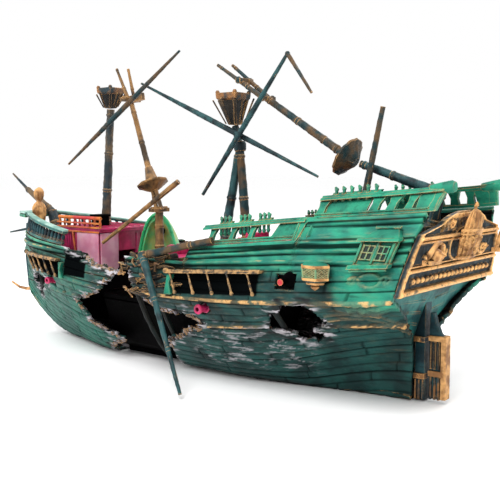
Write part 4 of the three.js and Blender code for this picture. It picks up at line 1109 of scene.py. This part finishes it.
def poop_steps(side, end):
    """The upright block where the quarter bulwark steps up to the poop."""
    fore, aft = POOP_X - 2.2, POOP_X + 2.6
    foot = float(plank_top(fore)) - 1.5
    head = float(plank_top(aft)) + 0.6
    outline = ((fore, foot), (aft, foot + 0.4), (aft, head), (fore, head - 0.4))
    form = board(Form(), outline, (-1.5, 0.35), side)
    for x in (fore + 0.5, aft - 0.5):
        form.rod([on_hull(x, foot + 0.6, 0.3, side), on_hull(x, head - 0.6, 0.3, side)], 0.4, 8)
    piece(f"poop_step_{end}", form, "rail", STERN, None, bevel=0.25)


def belaying_pin(form, x, top, side):
    """A pin through the rail: a blunt point above it and a longer handle below."""
    foot = on_hull(x, top(x) + 1.2, -0.5, side)
    form.rod([foot, foot + vec(0, 0, 1.4), foot + vec(0.1, 0, 2.1), foot + vec(-0.4, side * 0.2, 2.9)],
             [0.7, 0.55, 0.8, 0.35], 8)
    head = on_hull(x, top(x) + 0.2, -0.7, side)
    form.rod([head, head - vec(0, 0, 1.4), head - vec(0, 0, 1.9), head - vec(0, 0, 2.9)],
             [0.6, 0.5, 0.75, 0.35], 8)


def channels(side, end):
    """The ledges the shrouds once stood on, with their struts and a knee at one end."""
    for name, body, x0, x1, height, struts, drop in (
            ("stern_channel", STERN, 1.5, 43, lambda x: 39.4 + 0.07 * (x - 1.5), np.linspace(5, 39, 5), 6.5),
            ("bow_channel", BOW, -100, -64, lambda x: 38.6, np.linspace(-96, -68, 5), 6)):
        form = Form()
        xs = np.linspace(x0, x1, 18)
        strip(form, xs, height, lambda x: height(x) + 0.8, -GAP, 3.0, side)
        bead(form, xs, lambda x: height(x) + 0.9, 0.4, 2.6, side)
        form.ball(on_hull(x0 + 0.5, height(x0) + 0.9, 2.6, side), 1.1, 10)
        for x in struts:
            top = on_hull(x - 1.0, height(x) + 0.1, 2.5, side)
            foot = on_hull(x + 1.8, height(x) - drop, 1.7, side)
            middle = (top + foot) / 2 + vec(0.35, side * 0.5, 0)
            form.rod([top, middle, foot], [0.5, 0.42, 0.45], 10)
            form.ball(foot, 0.7, 10)
        piece(f"{name}_work_{end}", form, "channel", body, f"{name}_{end}", bevel=0.1)
        form = Form()
        knee = x0 + 1.2 if body == STERN else x1 + 1.4
        outline = ((-0.6, -0.4), (1.6, -0.4), (1.0, -3.4), (2.2, -drop - 1), (-1.2, -drop - 1))
        board(form, [(knee + dx, height(knee + dx) + dz) for dx, dz in outline], (-0.2, 1.9), side)
        piece(f"{name}_knee_{end}", form, "rail", body, None, bevel=0.25)


def lanterns(side, end):
    """A six-sided lantern on the quarter: a diamond lattice over dark panes, between moulded rims."""
    centre = on_hull(60.6, 44.6, 4.3, side)

    def ring(radius, height):
        turns = [math.tau * k / 6 for k in range(6)]
        return [centre + vec(1.25 * radius * math.cos(a), radius * math.sin(a), height) for a in turns]

    def stack(form, steps):
        form.loft([ring(radius, height) for radius, height in steps])

    form = Form()
    low, high = ring(3.6, -1.5), ring(3.9, 1.4)
    for turn in range(6):
        following = (turn + 1) % 6

        def spot(u, v):
            """A point on this face, u of the way round it and v of the way up."""
            return ((low[turn] * (1 - u) + low[following] * u) * (1 - v)
                    + (high[turn] * (1 - u) + high[following] * u) * v)

        for t in (0.0, 0.25, 0.5, 0.75, 1.0):
            bars = (((0, t), (1 - t, 1)), ((t, 0), (1, 1 - t)), ((1, t), (t, 1)), ((1 - t, 0), (0, 1 - t)))
            for a, b in bars:
                if np.linalg.norm(spot(*a) - spot(*b)) > 0.6:
                    form.rod([spot(*a), spot(*b)], 0.17, 5)
        form.rod([low[turn], high[turn]], 0.35, 6)
    stack(form, ((4.0, 2.1), (3.2, 2.6), (1.2, 3.1)))
    piece(f"lantern_glazing_{end}", form, "rail", STERN, None)
    form = Form()
    stack(form, ((2.3, -3.3), (3.5, -2.4), (3.6, -1.9)))
    stack(form, ((3.4, -1.9), (3.7, 1.7)))
    piece(f"lantern_panes_{end}", form, "glass", STERN, None, bevel=0.1)
    form = Form()
    for radius, height in ((4.0, 1.8), (3.8, -1.9), (2.5, -3.2)):
        inside, outside = radius - 0.3, radius + 0.15
        stack(form, ((inside, height - 0.5), (outside, height - 0.3), (outside, height + 0.3),
                     (inside, height + 0.5)))
    form.turned([(1.6, -3.4), (1.0, -3.9), (1.4, -4.5), (0.8, -5.1), (0.1, -5.6)], centre, sides=12)
    piece(f"lantern_rims_{end}", form, "gilt", STERN, f"quarter_lantern_{end}", bevel=0.1)


def galleries(side, end):
    """A gabled hood over two latticed windows, with a sill and drops below."""
    fore, aft, inside = 68, 77, -1.3

    def roof(x):
        return 54.6 + 0.06 * (x - fore)

    def sill(x):
        return 47.2 + 0.12 * (x - fore)

    form = Form()
    xs, ledge = np.linspace(fore, aft, 10), np.linspace(fore - 0.6, aft + 0.4, 10)
    strip(form, xs, sill, roof, inside, 2.4, side)
    strip(form, ledge, lambda x: roof(x) - 0.3, lambda x: roof(x) + 0.6, inside, 4.1, side)
    hood = []
    for inset, rise, proud in ((0, 0.6, 3.5), (0.8, 1.6, 2.4), (2.0, 3.4, 1.3)):
        a, b = fore + inset, aft - inset
        corners = ((a, roof(fore), inside), (a, roof(fore), proud), (b, roof(aft), proud),
                   (b, roof(aft), inside))
        hood.append([on_hull(x, z + rise, out, side) for x, z, out in corners])
    form.loft(hood)
    ridge_xs = np.linspace(fore + 1.6, aft - 1.4, 10)
    strip(form, ridge_xs, lambda x: roof(x) + 3.4, lambda x: roof(x) + 4.1, inside, 1.9, side)
    strip(form, ledge, lambda x: sill(x) - 1.1, lambda x: sill(x) + 0.2, inside, 4.0, side)
    bead(form, xs, lambda x: sill(x) - 1.5, 0.4, 3.2, side)
    for x in (fore + 0.4, fore + 4.3, aft - 0.8):
        form.rod([on_hull(x, 48, 2.7, side), on_hull(x, 54.4, 2.7, side)], 0.45, 8)
    piece(f"gallery_frame_{end}", form, "rail", STERN, f"quarter_gallery_{end}", bevel=0.1)

    low, high, width = 49.2, 53.2, 2.6
    glass, bars = Form(), Form()
    for x in (fore + 1.2, fore + 4.8):
        board(glass, ((x, low), (x + width, low), (x + width, high), (x, high)), (2.3, 2.55), side)
        for a in (x, x + 1.3, x + width):
            bars.rod([on_hull(a, 49, 2.7, side), on_hull(a, 53.4, 2.7, side)], 0.24, 6)
        for z in (low, 51.2, high):
            bars.rod([on_hull(x - 0.2, z, 2.7, side), on_hull(x + 2.8, z, 2.7, side)], 0.24, 6)
    piece(f"gallery_panes_{end}", glass, "glass", STERN, None)
    piece(f"gallery_bars_{end}", bars, "rail", STERN, None)


def cannons(side, end):
    """Barrels in the gunports: pink ones amidships and at the bow, a black one with a lid aft."""
    spots = [("fore", 17.5, 28.2, 3.4, 1.0, "pink", STERN), ("aft", 50.8, 40.3, 2.2, 0.66, "black", STERN)]
    if side == PORT:
        spots.append(("bow", -77, 29, 2.6, 0.9, "pink", BOW))
    for label, x, z, length, bulk, look, body in spots:
        breech, muzzle = on_hull(x, z, -5, side), on_hull(x, z, length, side)
        run = muzzle - breech
        total = float(np.linalg.norm(run))
        barrel = [(0.2, -0.8), (0.7, -0.5), (1.6, 0), (1.75, 0.4), (1.6, 1.2), (1.55, total * 0.45),
                  (1.75, total * 0.48), (1.4, total * 0.52), (1.25, total - 1.4), (1.6, total - 1.1),
                  (1.75, total - 0.5), (1.5, total), (0.8, total), (0.75, total - 1.5), (0.05, total - 1.6)]
        form = Form().turned([(r * bulk, h) for r, h in barrel], breech, run, 24)
        piece(f"gun_{end}_{label}", form, look, body, f"cannon_{end}_{label}")
        if look == "black":
            rim = Form().turned([(0.6, -0.3), (1.05, -0.15), (1.05, 0.2), (0.6, 0.3)], muzzle, run, 20)
            piece(f"gun_ring_{end}_{label}", rim, "redgold", body, None)
            lid = Form().turned([(0.1, -0.5), (2.6, -0.4), (2.6, 0.2), (1.8, 0.5), (0.1, 0.6)],
                                on_hull(x + 1.2, z + 0.6, -0.6, side), run, 24)
            piece(f"gun_lid_{end}_{label}", lid, "black", body, None, bevel=0.1)


def decks():
    form = Form()
    deck_planks(form, -16, POOP_X - 3, 44, 15)
    form.box(-9, -7.4, -26, 26, 43, 47.5)
    for y in np.linspace(-24, 24, 13):
        form.box(-9.3, -7.1, y - 0.5, y + 0.5, 43.2, 47.8)
    form.box(11.4, 15, -5, 5, 43.5, 52)
    form.box(21, 41.4, -3, 3, 43.5, 47)
    for x in (21, 30, 39):
        form.box(x, x + 2.4, -9, 9, 43.5, 50.2)
        for y in np.linspace(-8, 8, 4):
            form.turned([(1.0, 50.2), (0.7, 50.5), (1.0, 50.8), (0.4, 51)], (x + 1.2, y, 0), sides=10)
    piece("quarter_deck_planks", form, "pink", STERN, "quarter_deck", bevel=0.15)
    form = Form()
    deck_planks(form, POOP_X + 2, HULL_AFT + 5, 57.5, 13)
    form.box(54, 55.6, -20, 20, 45, 57)
    for y in np.linspace(-18, 18, 10):
        form.box(53.7, 55.8, y - 0.5, y + 0.5, 45.2, 56.6)
    piece("poop_deck_planks", form, "hull", STERN, "poop_deck", bevel=0.15)


def rudder():
    form = Form()
    fore, aft = HALF_KEEL + 0.8, HALF_KEEL + 6.6
    outline = [(fore, 1), (aft, 1), (aft, 21.4), (aft - 1.8, 22.6), (aft - 2.9, 25.2), (fore + 2.4, 26),
               (fore + 1.6, 29.4), (fore + 0.3, 29.4), (fore, 24)]
    form.loft([[(x, y, z) for x, z in outline] for y in (-1.1, 1.1)])
    piece("rudder_blade", form, "slate", RUDDER, "rudder", bevel=0.3, wobble=0.12)
    form = Form()
    for z in (8.6, 20.2):
        form.box(fore, aft + 0.4, -1.9, 1.9, z, z + 1.8)
    form.box(aft - 1.3, aft + 0.5, -1.9, 1.9, 1.2, 21.4)
    piece("rudder_straps", form, "gilt", RUDDER, None, bevel=0.25, wobble=0.2)
    for name, look, low, high in (("rudder_tassels", "gold", 0.9, 8.4), ("rudder_slats", "wood", 11, 20)):
        form = Form()
        for side in SIDES:
            for k in range(3):
                x = fore + 0.9 + 1.4 * k
                form.rod([(x, side[0] * 1.15, low), (x, side[0] * 1.15, high)], [0.5, 0.42], 8, rough=0.3)
        piece(name, form, look, RUDDER, None)


# ---- masts and yards ----
def main_mast():
    crutch, bands = (4.8, 0, 84.3), (0.12, 0.5, 0.9)
    form = Form().spar((8.4, 0, 44.9), crutch, 1.9, 1.5, bands=bands)
    piece("main_mast_aft_leg", form, "mast", STERN, None)
    form = Form().spar((-3.6, 0, 44.9), crutch, 1.9, 1.5, bands=bands)
    form.spar((4.9, 0, 83), (2.4, 0, 91.9), 1.6, 1.3)
    form.rod([(4.9, 0, 82.4), (4.85, 0, 83.2), (4.8, 0, 85.2), (4.7, 0, 86)], [2.1, 2.4, 2.4, 2.0], 14)
    piece("main_mast_legs", form, "teal_mast", STERN, "main_mast")
    mast_top("main_top_bowl", STERN, "main_top", vec(2.4, 0, 92.3), vec(1.5, 0, 104.3), 4.8)
    yard("main_yard_pole", STERN, "main_yard", (-44.5, -3.3, 110.5), (42.5, -3.3, 73), "teal_mast")


def mast_top(name, body, node, foot, rim, half):
    """A four-sided lookout: slatted sides widening to a moulded rim with a tray inside."""
    def square(at, z, h):
        return [(at[0] + i * h, at[1] + j * h, z) for i, j in CORNERS]

    form = Form()
    form.loft([square(foot, foot[2], 1.7), square(rim, rim[2] - 2.6, half - 1.1)])
    for i, j in CORNERS:
        low = foot + vec(1.6 * i, 1.6 * j, 0.3)
        high = rim + vec((half - 1.1) * i, (half - 1.1) * j, -2.4)
        form.rod([low, high], [0.5, 0.6], 8, rough=0.3)
        following = vec(-j, i, 0)
        for t in (-0.4, 0.0, 0.4):
            foot_slat = foot + vec(1.6 * i, 1.6 * j, 0.5) + following * 1.6 * (1 + t)
            head_slat = high + following * (half - 1.1) * (1 + t)
            form.rod([foot_slat, head_slat], [0.28, 0.4], 6, rough=0.3)
    piece(f"{name}_sides", form, "wood", body, None, bevel=0.1)
    form = Form()
    moulding = ((2.8, 0.9), (2.2, 0.2), (0.5, 0), (0, 0.2), (0, 1.2), (1.4, 1.5))
    form.loft([square(rim, rim[2] - drop, half - inset) for drop, inset in moulding])
    for i, j in CORNERS:
        form.turned([(0.7, -0.5), (0.9, 0.2), (0.5, 0.9)], rim + vec(i, j, 0) * (half - 0.6), sides=8)
    piece(name, form, "gold", body, node, bevel=0.12)


def yard(name, body, node, start, end, look="mast", waist=1.08, tip=0.45):
    """A yard: whittled, thickest in the middle and fined away to both ends."""
    start, end = np.array(start, float), np.array(end, float)
    shares = np.linspace(0, 1, max(6, int(np.linalg.norm(end - start) / 1.4)))
    swell = [tip + (waist - tip) * min(1.0, 2.5 * min(t, 1 - t)) for t in shares]
    form = Form().rod([start + (end - start) * t for t in shares], swell, 12, 0.14)
    return piece(name, form, look, body, node)


def mizzen():
    form = Form()
    form.spar((84, 1.5, 57.8), (86.5, 1.5, 67.8), 1.8, 1.7, bands=(0.1, 0.9))
    form.spar((87.9, 1.5, 67.5), (57.7, 0, 77.4), 1.8, 1.3, bands=(0.05, 0.15, 0.6, 0.95))
    piece("mizzen_mast_pole", form, "teal_mast", STERN, "mizzen_mast")

    dish, block = vec(54.7, 0, 78.4), vec(15.3, 0, 102.8)
    run = unit(block - dish)
    form = Form()
    profile = [(1.8, -1.2), (2.6, -0.6), (4.4, 0.8), (6.0, 1.9), (7.1, 2.4), (7.2, 3.0), (6.6, 3.3),
               (5.6, 2.9), (2.0, 2.2), (0.2, 2.2)]
    form.turned(profile, dish, run, 32, ribs=12, rib_depth=0.22)
    piece("mizzen_top_dish", form, "mast", STERN, "mizzen_top")

    form = Form()
    form.spar(dish + run * 3.5, block, 1.5, 1.2, bands=(0.1, 0.25, 0.55, 0.9))
    for y in (-2, 2):
        form.spar((16.5, y, 102), (-2.5 + y, y, 115), 1.0, 0.6, bands=(0.3, 0.9))
    for at in (vec(17.5, 0, 101.4), vec(7, 0, 108.5)):
        form.beam(at + vec(0, -4, 0), at + vec(0, 4, 0), 2.4, 1.6)
        for y in (-3.4, 3.4):
            form.turned([(0.9, -1.2), (1.2, -0.4), (1.2, 0.6), (0.5, 1.3)], at + vec(0, y, 0), sides=8)
    piece("mizzen_topmast_pole", form, "mast", STERN, "mizzen_topmast", bevel=0.1)
    form = Form().spar((61.8, -3.4, 68.2), (67.8, -3.4, 96), 1.2, 0.8)
    piece("mizzen_lower_pole", form, "mast", STERN, "mizzen_lower_yard")
    peak = vec(30.9, -5.7, 115.9)
    yard("mizzen_upper_pole", STERN, None, (-9.1, -5.7, 65.8), peak, "teal_mast", 1.05, 0.6)
    form = Form().spar(peak + vec(-0.3, 0, 0.4), (41.2, -5.7, 101.8), 0.8, 0.5)
    form.ball(peak, 0.95, 10)
    piece("mizzen_upper_elbow", form, "mast", STERN, "mizzen_upper_yard")


def broken_spar():
    form = Form()
    elbow, tip = vec(-9, -38.5, 45), vec(19.8, -50, 1.6)
    form.spar((19, -32.6, 51.4), elbow, 1.2, 1.3, bands=(0.3, 0.9))
    piece("broken_spar_arm", form, "mast", STERN, None)
    form = Form()
    form.spar(elbow + vec(-0.4, 0.2, 0.9), tip, 1.4, 0.6, bands=(0.06, 0.35, 0.7))
    form.spar((-7.5, -37.8, 45.3), (-6.5, -39.6, 40.8), 0.8, 0.8)
    form.ball(elbow, 1.7, 10)
    piece("broken_spar_pole", form, "teal_mast", STERN, "broken_spar")


def fore_masts():
    form = Form()
    form.spar((-74.2, 2.6, 51.3), (-69.9, 2.6, 101.5), 2.0, 1.6, 14, bands=(0.03, 0.3, 0.62, 0.95))
    piece("fore_mast_pole", form, "grey_mast", BOW, "fore_mast")
    mast_top("fore_top_bowl", BOW, "fore_top", vec(-69.9, 2.6, 101.9), vec(-69.5, 2.6, 110.6), 4.4)

    foot, low, dish = vec(-32.9, -5.5, 42.6), vec(-34.3, -4.2, 59.1), vec(-38.7, -3, 68.7)
    high = vec(-54.6, 0, 104.6)
    run = unit(high - dish)
    form = Form()
    form.spar(foot, low, 1.9, 1.6, bands=(0.1, 0.6))
    for x in (-1.4, 1.4):
        form.spar(low + vec(x, 0, 0), dish + vec(x * 0.6, 0, 0), 0.9, 0.85, bands=(0.5,))
    form.spar(dish, high, 1.3, 1.0, bands=(0.12, 0.2, 0.5, 0.85))
    profile = [(1.9, -2), (3.2, -1.2), (5.2, 0.2), (6.3, 0.7), (6.4, 1.3), (5.9, 1.6), (4.9, 1.2),
               (1.9, 1.0), (0.2, 1.0)]
    form.turned(profile, dish, run, 30, ribs=10, rib_depth=0.2)
    form.turned([(3.4, 1.1), (2.4, 3.5), (1.5, 8.4)], dish, run, 16, ribs=6, rib_depth=0.3)
    for side in (-1, 1):
        form.spar(high + vec(1, side * 1.6, -1), (-59.3 + side * 1.8, side * 1.6, 117.8), 0.8, 0.55,
                  bands=(0.4, 0.95))
    for at in (low, high):
        form.beam(at + vec(0, -4.4, 0), at + vec(0, 4.4, 0), 3.4, 1.6)
        form.rod([at + vec(0, -4.6, 0.9), at + vec(0, 4.6, 0.9)], 0.5, 8)
    form.beam(high, high + vec(7.5, 0, 1.2), 2, 3)
    piece("fore_topmast_pole", form, "umber_mast", BOW, "fore_topmast", bevel=0.08)
    yard("fore_upper_pole", BOW, "fore_upper_yard", (-87.1, -7, 77.8), (-19.5, -7, 121.1))
    form = Form().spar((-53.2, -18, 45.5), (-20.5, -7.2, 70.8), 0.7, 1.1)
    piece("fore_lower_pole", form, "umber_mast", BOW, "fore_lower_yard")


# ---- bow section ----
def stem_and_bowsprit():
    form = Form()
    curve = [(-HALF_KEEL - 40 * t, 20 * t * t) for t in np.linspace(0, 1, 16)]
    inner = [(x + 3.5, z + 3.6) for x, z in curve[::-1]]
    outline = [(-50, 0)] + curve + [(-125.6, 34), (-124.5, 50), (-120.8, 50)] + inner + [(-50, 3)]
    form.loft([[(x, y, z) for x, z in outline] for y in (-KEEL_HALF_WIDTH, -2.2, 2.2, KEEL_HALF_WIDTH)])
    form.spar((-123, -1, 47.6), (-140, -1, 44.8), 0.7, 0.4)
    piece("stem_timber", form, "slate", BOW, "bow_stem", bevel=0.25)
    form = Form().rod([(-124, 0, 18.5), (-129, 0, 17.6), (-135, 0, 17.9), (-141, 0, 20)],
                      [0.95, 0.8, 0.65, 0.45], 10)
    piece("stem_spike", form, "gilt", BOW, None)

    form = Form()
    root, middle = vec(-112, 2.6, 55.9), vec(-130.3, 2.6, 66)
    form.spar((-108, 2.6, 47), root, 2.4, 2.4, bands=(0.4,))
    form.spar(root + vec(1.4, 0, -0.8), middle, 1.8, 1.2, bands=(0.2, 0.5, 0.95))
    form.spar(middle + vec(0.5, 0, -0.3), (-141.5, 2.6, 73.4), 0.8, 0.4)
    piece("bowsprit_pole", form, "grey_mast", BOW, "bowsprit")

    profile = [(0.3, 0), (3.2, 0), (3.3, 1.0), (2.3, 1.8), (2.1, 4), (2.6, 7), (3.0, 9.6), (3.0, 12.4),
               (2.2, 14.2), (1.1, 15.2), (1.1, 15.8), (1.8, 16.5), (2.2, 18), (2.2, 19.6), (1.6, 21),
               (0.8, 21.7), (0.3, 22)]
    form = Form().turned(profile, (-112.5, -4.2, 45.3), sides=64, ribs=7, rib_depth=0.28)
    piece("bow_finial_carving", form, "gilt", BOW, "bow_finial", wobble=0.3)


def forecastle(side, end):
    """The bow's rail: a cap with a pale top over a row of turned balusters."""
    def cap(x):
        return 50.4 + 4 * (-78 - x) / 38

    form = Form()
    xs = np.linspace(-116, -66, 26)
    strip(form, xs, cap, lambda x: cap(x) + 0.9, 2.2, 0.9, side)
    strip(form, xs, rail_foot, lambda x: rail_foot(x) + 1.0, 1.7, -0.1, side)
    piece(f"forecastle_rail_work_{end}", form, "bow_rail", BOW, f"forecastle_rail_{end}",
          bevel=0.1)
    form = Form()
    for x in np.linspace(-114, -67, 15):
        low, high = rail_foot(x) + 0.8, cap(x) + 0.2
        base, head = on_hull(x, low, -0.9, side), on_hull(x, high, -0.9, side)
        total = float(np.linalg.norm(head - base))
        form.turned([(0.85, 0), (0.85, 0.5), (0.5, 0.9), (0.8, total * 0.5), (0.5, total - 0.8),
                     (0.85, total - 0.4), (0.85, total)], base, head - base, 10)
    piece(f"forecastle_balusters_{end}", form, "slate", BOW, None)
    form = Form()
    strip(form, xs, lambda x: cap(x) + 0.9, lambda x: cap(x) + 1.6, 1.9, 0.7, side)
    piece(f"forecastle_cap_{end}", form, "cap", BOW, None, bevel=0.1)


def beakhead():
    """The pale platform over the stem, with its teal edge."""
    form = Form()
    outline = [(-116, 9.5), (-121, 7.6), (-126, 5.4), (-128.8, 3.2)]
    ring = [(x, -y) for x, y in outline] + [(x, y) for x, y in outline[::-1]]
    form.loft([[(x, y, 54.4 + dz) for x, y in ring] for dz in (0.5, 1.3)])
    piece("beakhead_platform", form, "cap", BOW, None, bevel=0.15)
    form = Form()
    form.loft([[(x * 0.999, y * 1.04, 53.0 + dz) for x, y in ring] for dz in (0.2, 1.6)])
    piece("beakhead_edge", form, "rail", BOW, None, bevel=0.2)


def forecastle_deck():
    form = deck_planks(Form(), -118, -86, 45, 11)
    piece("forecastle_planks", form, "hull", BOW, "forecastle_deck", bevel=0.12)


def waist_cabin():
    form = Form()
    for x0, x1, y0, y1 in ((-84, -82, -15, 15), (-60, -58, -15, -5), (-60, -58, 5, 15), (-82, -60, -15, -13),
                           (-82, -60, 13, 15)):
        form.box(x0, x1, y0, y1, 27, 49.2)
    form.box(-60, -58, -5, 5, 41, 49.2)
    form.box(-60, -58, -5, 5, 27, 29)
    form.box(-85, -57, -16, 16, 49.2, 51)
    form.box(-85.2, -56.8, -16.2, 16.2, 50.2, 50.6)
    for side in (PORT, STARBOARD):
        for x in np.linspace(-81.5, -61, 14):
            form.rod([(x, side * 15, 28.5), (x, side * 15, 48.2)], 0.5, 8)
        for x in (-83.2, -72, -59.2):
            form.box(x - 0.9, x + 0.9, side * 15.4 - 0.6, side * 15.4 + 0.6, 27.5, 49)
    for y in np.linspace(-14, 14, 11):
        if abs(y) > 5.4:
            form.rod([(-58, y, 28.5), (-58, y, 48.2)], 0.5, 8)
    for y in np.linspace(-14.5, 14.5, 9):
        form.box(-84.6, -57.4, y - 0.12, y + 0.12, 51, 51.25)
    piece("waist_cabin_walls", form, "pink", BOW, "waist_cabin", bevel=0.15)
    form = Form()
    form.rod([(-84.5, -15, 55.1), (-57.5, -15, 55.1)], 0.75, 10)
    for x in np.linspace(-84, -58, 9):
        form.turned([(0.7, 51), (0.4, 51.6), (0.7, 52.8), (0.4, 54), (0.6, 54.8)], (x, -15, 0), sides=10)
    form.beam((-74, -16.1, 49), (-70, -16.4, 28), 1.1, 0.7)
    for z in (49.3, 51.2, 53):
        form.beam((-84.5, -16.1, z), (-57.5, -16.1, z), 0.6, 0.7)
    piece("waist_cabin_rail", form, "redgold", BOW, None, bevel=0.1)
    form = Form().box(-71.6, -58.2, -16.2, -15.4, 27.6, 48.9)
    form.box(-57.9, -57.4, -15.2, -5.4, 27.6, 48.9)
    piece("waist_cabin_curtain", form, "rose", BOW, None, bevel=0.2)
    form = Form().box(-74, -69, -6, 0, 51, 55)
    form.box(-74.6, -68.4, -6.6, 0.6, 55, 56)
    piece("waist_cabin_stack", form, "black", BOW, None, bevel=0.3)


def green_bulwark():
    """Half of a thin rounded shell with a torn rim, hollow towards port."""
    centre = vec(-44, 5, 28.6)
    lats, lons = 40, 60
    outer, inner = [], []
    for i in range(lats + 1):
        lat = math.pi / 2 * i / lats
        for k in range(lons + 1):
            lon = math.pi * k / lons
            direction = vec(math.cos(lon) * math.cos(lat), math.sin(lon) * math.cos(lat), math.sin(lat))
            ragged = 1 + 0.02 * noise.noise(Vector(direction * 5))
            outer.append(centre + direction * vec(12, 9, 28) * ragged)
            inner.append(centre + direction * vec(10.4, 7.6, 26.2) * ragged)
    shape = (lats + 1, lons + 1, 3)
    mesh = two_sided_sheet("green_shell", np.array(outer).reshape(shape), np.array(inner).reshape(shape))
    finish_piece("green_shell", mesh, "green", BOW, "green_bulwark", 0, 60)
    rim = [centre + vec(12 * math.cos(a), -0.3, 28 * math.sin(a)) for a in np.linspace(0, math.pi, 40)]
    form = Form().rod(rim, 0.75, 8, 0.2)
    piece("green_shell_rim", form, "lime", BOW, None)
    # A black disc in the shell's small hole: painted shade for the dark inside it.
    disc = [(0.1, -0.3), (1.5, -0.3), (1.7, 0), (1.5, 0.3), (0.1, 0.3)]
    form = Form().turned(disc, (-45.4, 8.6, 49), (0, -1, 0.3), 20)
    piece("green_shell_hole_shade", form, "black", BOW, None)


# ---- wreckage ----
def wreckage():
    """Ragged timbers and twigs at the torn end of the stern section, ribs and chips along the breaks."""
    rng = random.Random(23)
    form = Form()
    for k in range(34):
        x, z = rng.uniform(-24, 0), rng.uniform(30.5, 45)
        length, height = rng.uniform(4, 11), rng.uniform(0.8, 2.0)
        tilt = rng.uniform(-1.5, 1.5)
        out = rng.uniform(-1.2, 0.9)
        a, b = on_hull(x, z, out, PORT), on_hull(x + length, z + tilt, out, PORT)
        middle = (a + b) / 2 + vec(0, rng.uniform(-0.7, 0.3), rng.uniform(-0.6, 0.6))
        line_of_points = [a, a * 0.8 + middle * 0.2, middle, b * 0.8 + middle * 0.2, b]
        form.rod(line_of_points, [0.15, height / 2, height * 0.6, height / 2, 0.12], 7, rough=0.4)
    piece("torn_timbers_port", form, "wood", STERN, None, wobble=0.4)
    form = Form()
    for k in range(16):
        x, z = rng.uniform(-25, -4), rng.uniform(32, 43)
        a = on_hull(x, z, 0.6, PORT)
        b = on_hull(x + rng.uniform(2, 6), z + rng.uniform(-5, 3), 1.3, PORT)
        middle = (a + b) / 2 + vec(0, -1.2, rng.uniform(-1, 2))
        form.rod([a, middle, b], [0.5, 0.42, 0.28], 7, rough=0.3)
    piece("gold_twigs_port", form, "gold", STERN, None, wobble=0.5)
    for side, end in SIDES:
        shards(f"stern_splinters_{end}", STERN_BREAK[side][1:-3], side, STERN, -1, 70, 3.2)
        shards(f"bow_splinters_{end}", BOW_BREAK[side][1:-3], side, BOW, 1, 90, 2.6)
        for label, body, xs, low, high in (("stern", STERN, (-17, -6, 30, 44, 58), 3.6, 40),
                                           ("bow", BOW, (-104, -92), 14, 42)):
            form = Form()
            for x in xs:
                zs = np.linspace(max(low, float(keel_line(x)) + 2), high, 14)
                form.rod([on_hull(x, z, -2.6, side) for z in zs], 1.0, 8, rough=0.25)
            piece(f"{label}_ribs_{end}", form, "inner", body, None)


studio()
stern_skins()
bow_skins()
hold_and_ballast()
keel_and_post()
transom()
transom_lantern()
for side, end in SIDES:
    transom_frame(side, end)
for side, end in SIDES:
    quarter_rail(side, end)
    poop_rail(side, end)
    poop_steps(side, end)
    channels(side, end)
    lanterns(side, end)
    galleries(side, end)
    cannons(side, end)
    forecastle(side, end)
decks()
rudder()
main_mast()
mizzen()
broken_spar()
fore_masts()
stem_and_bowsprit()
forecastle_deck()
beakhead()
waist_cabin()
green_bulwark()
wreckage()
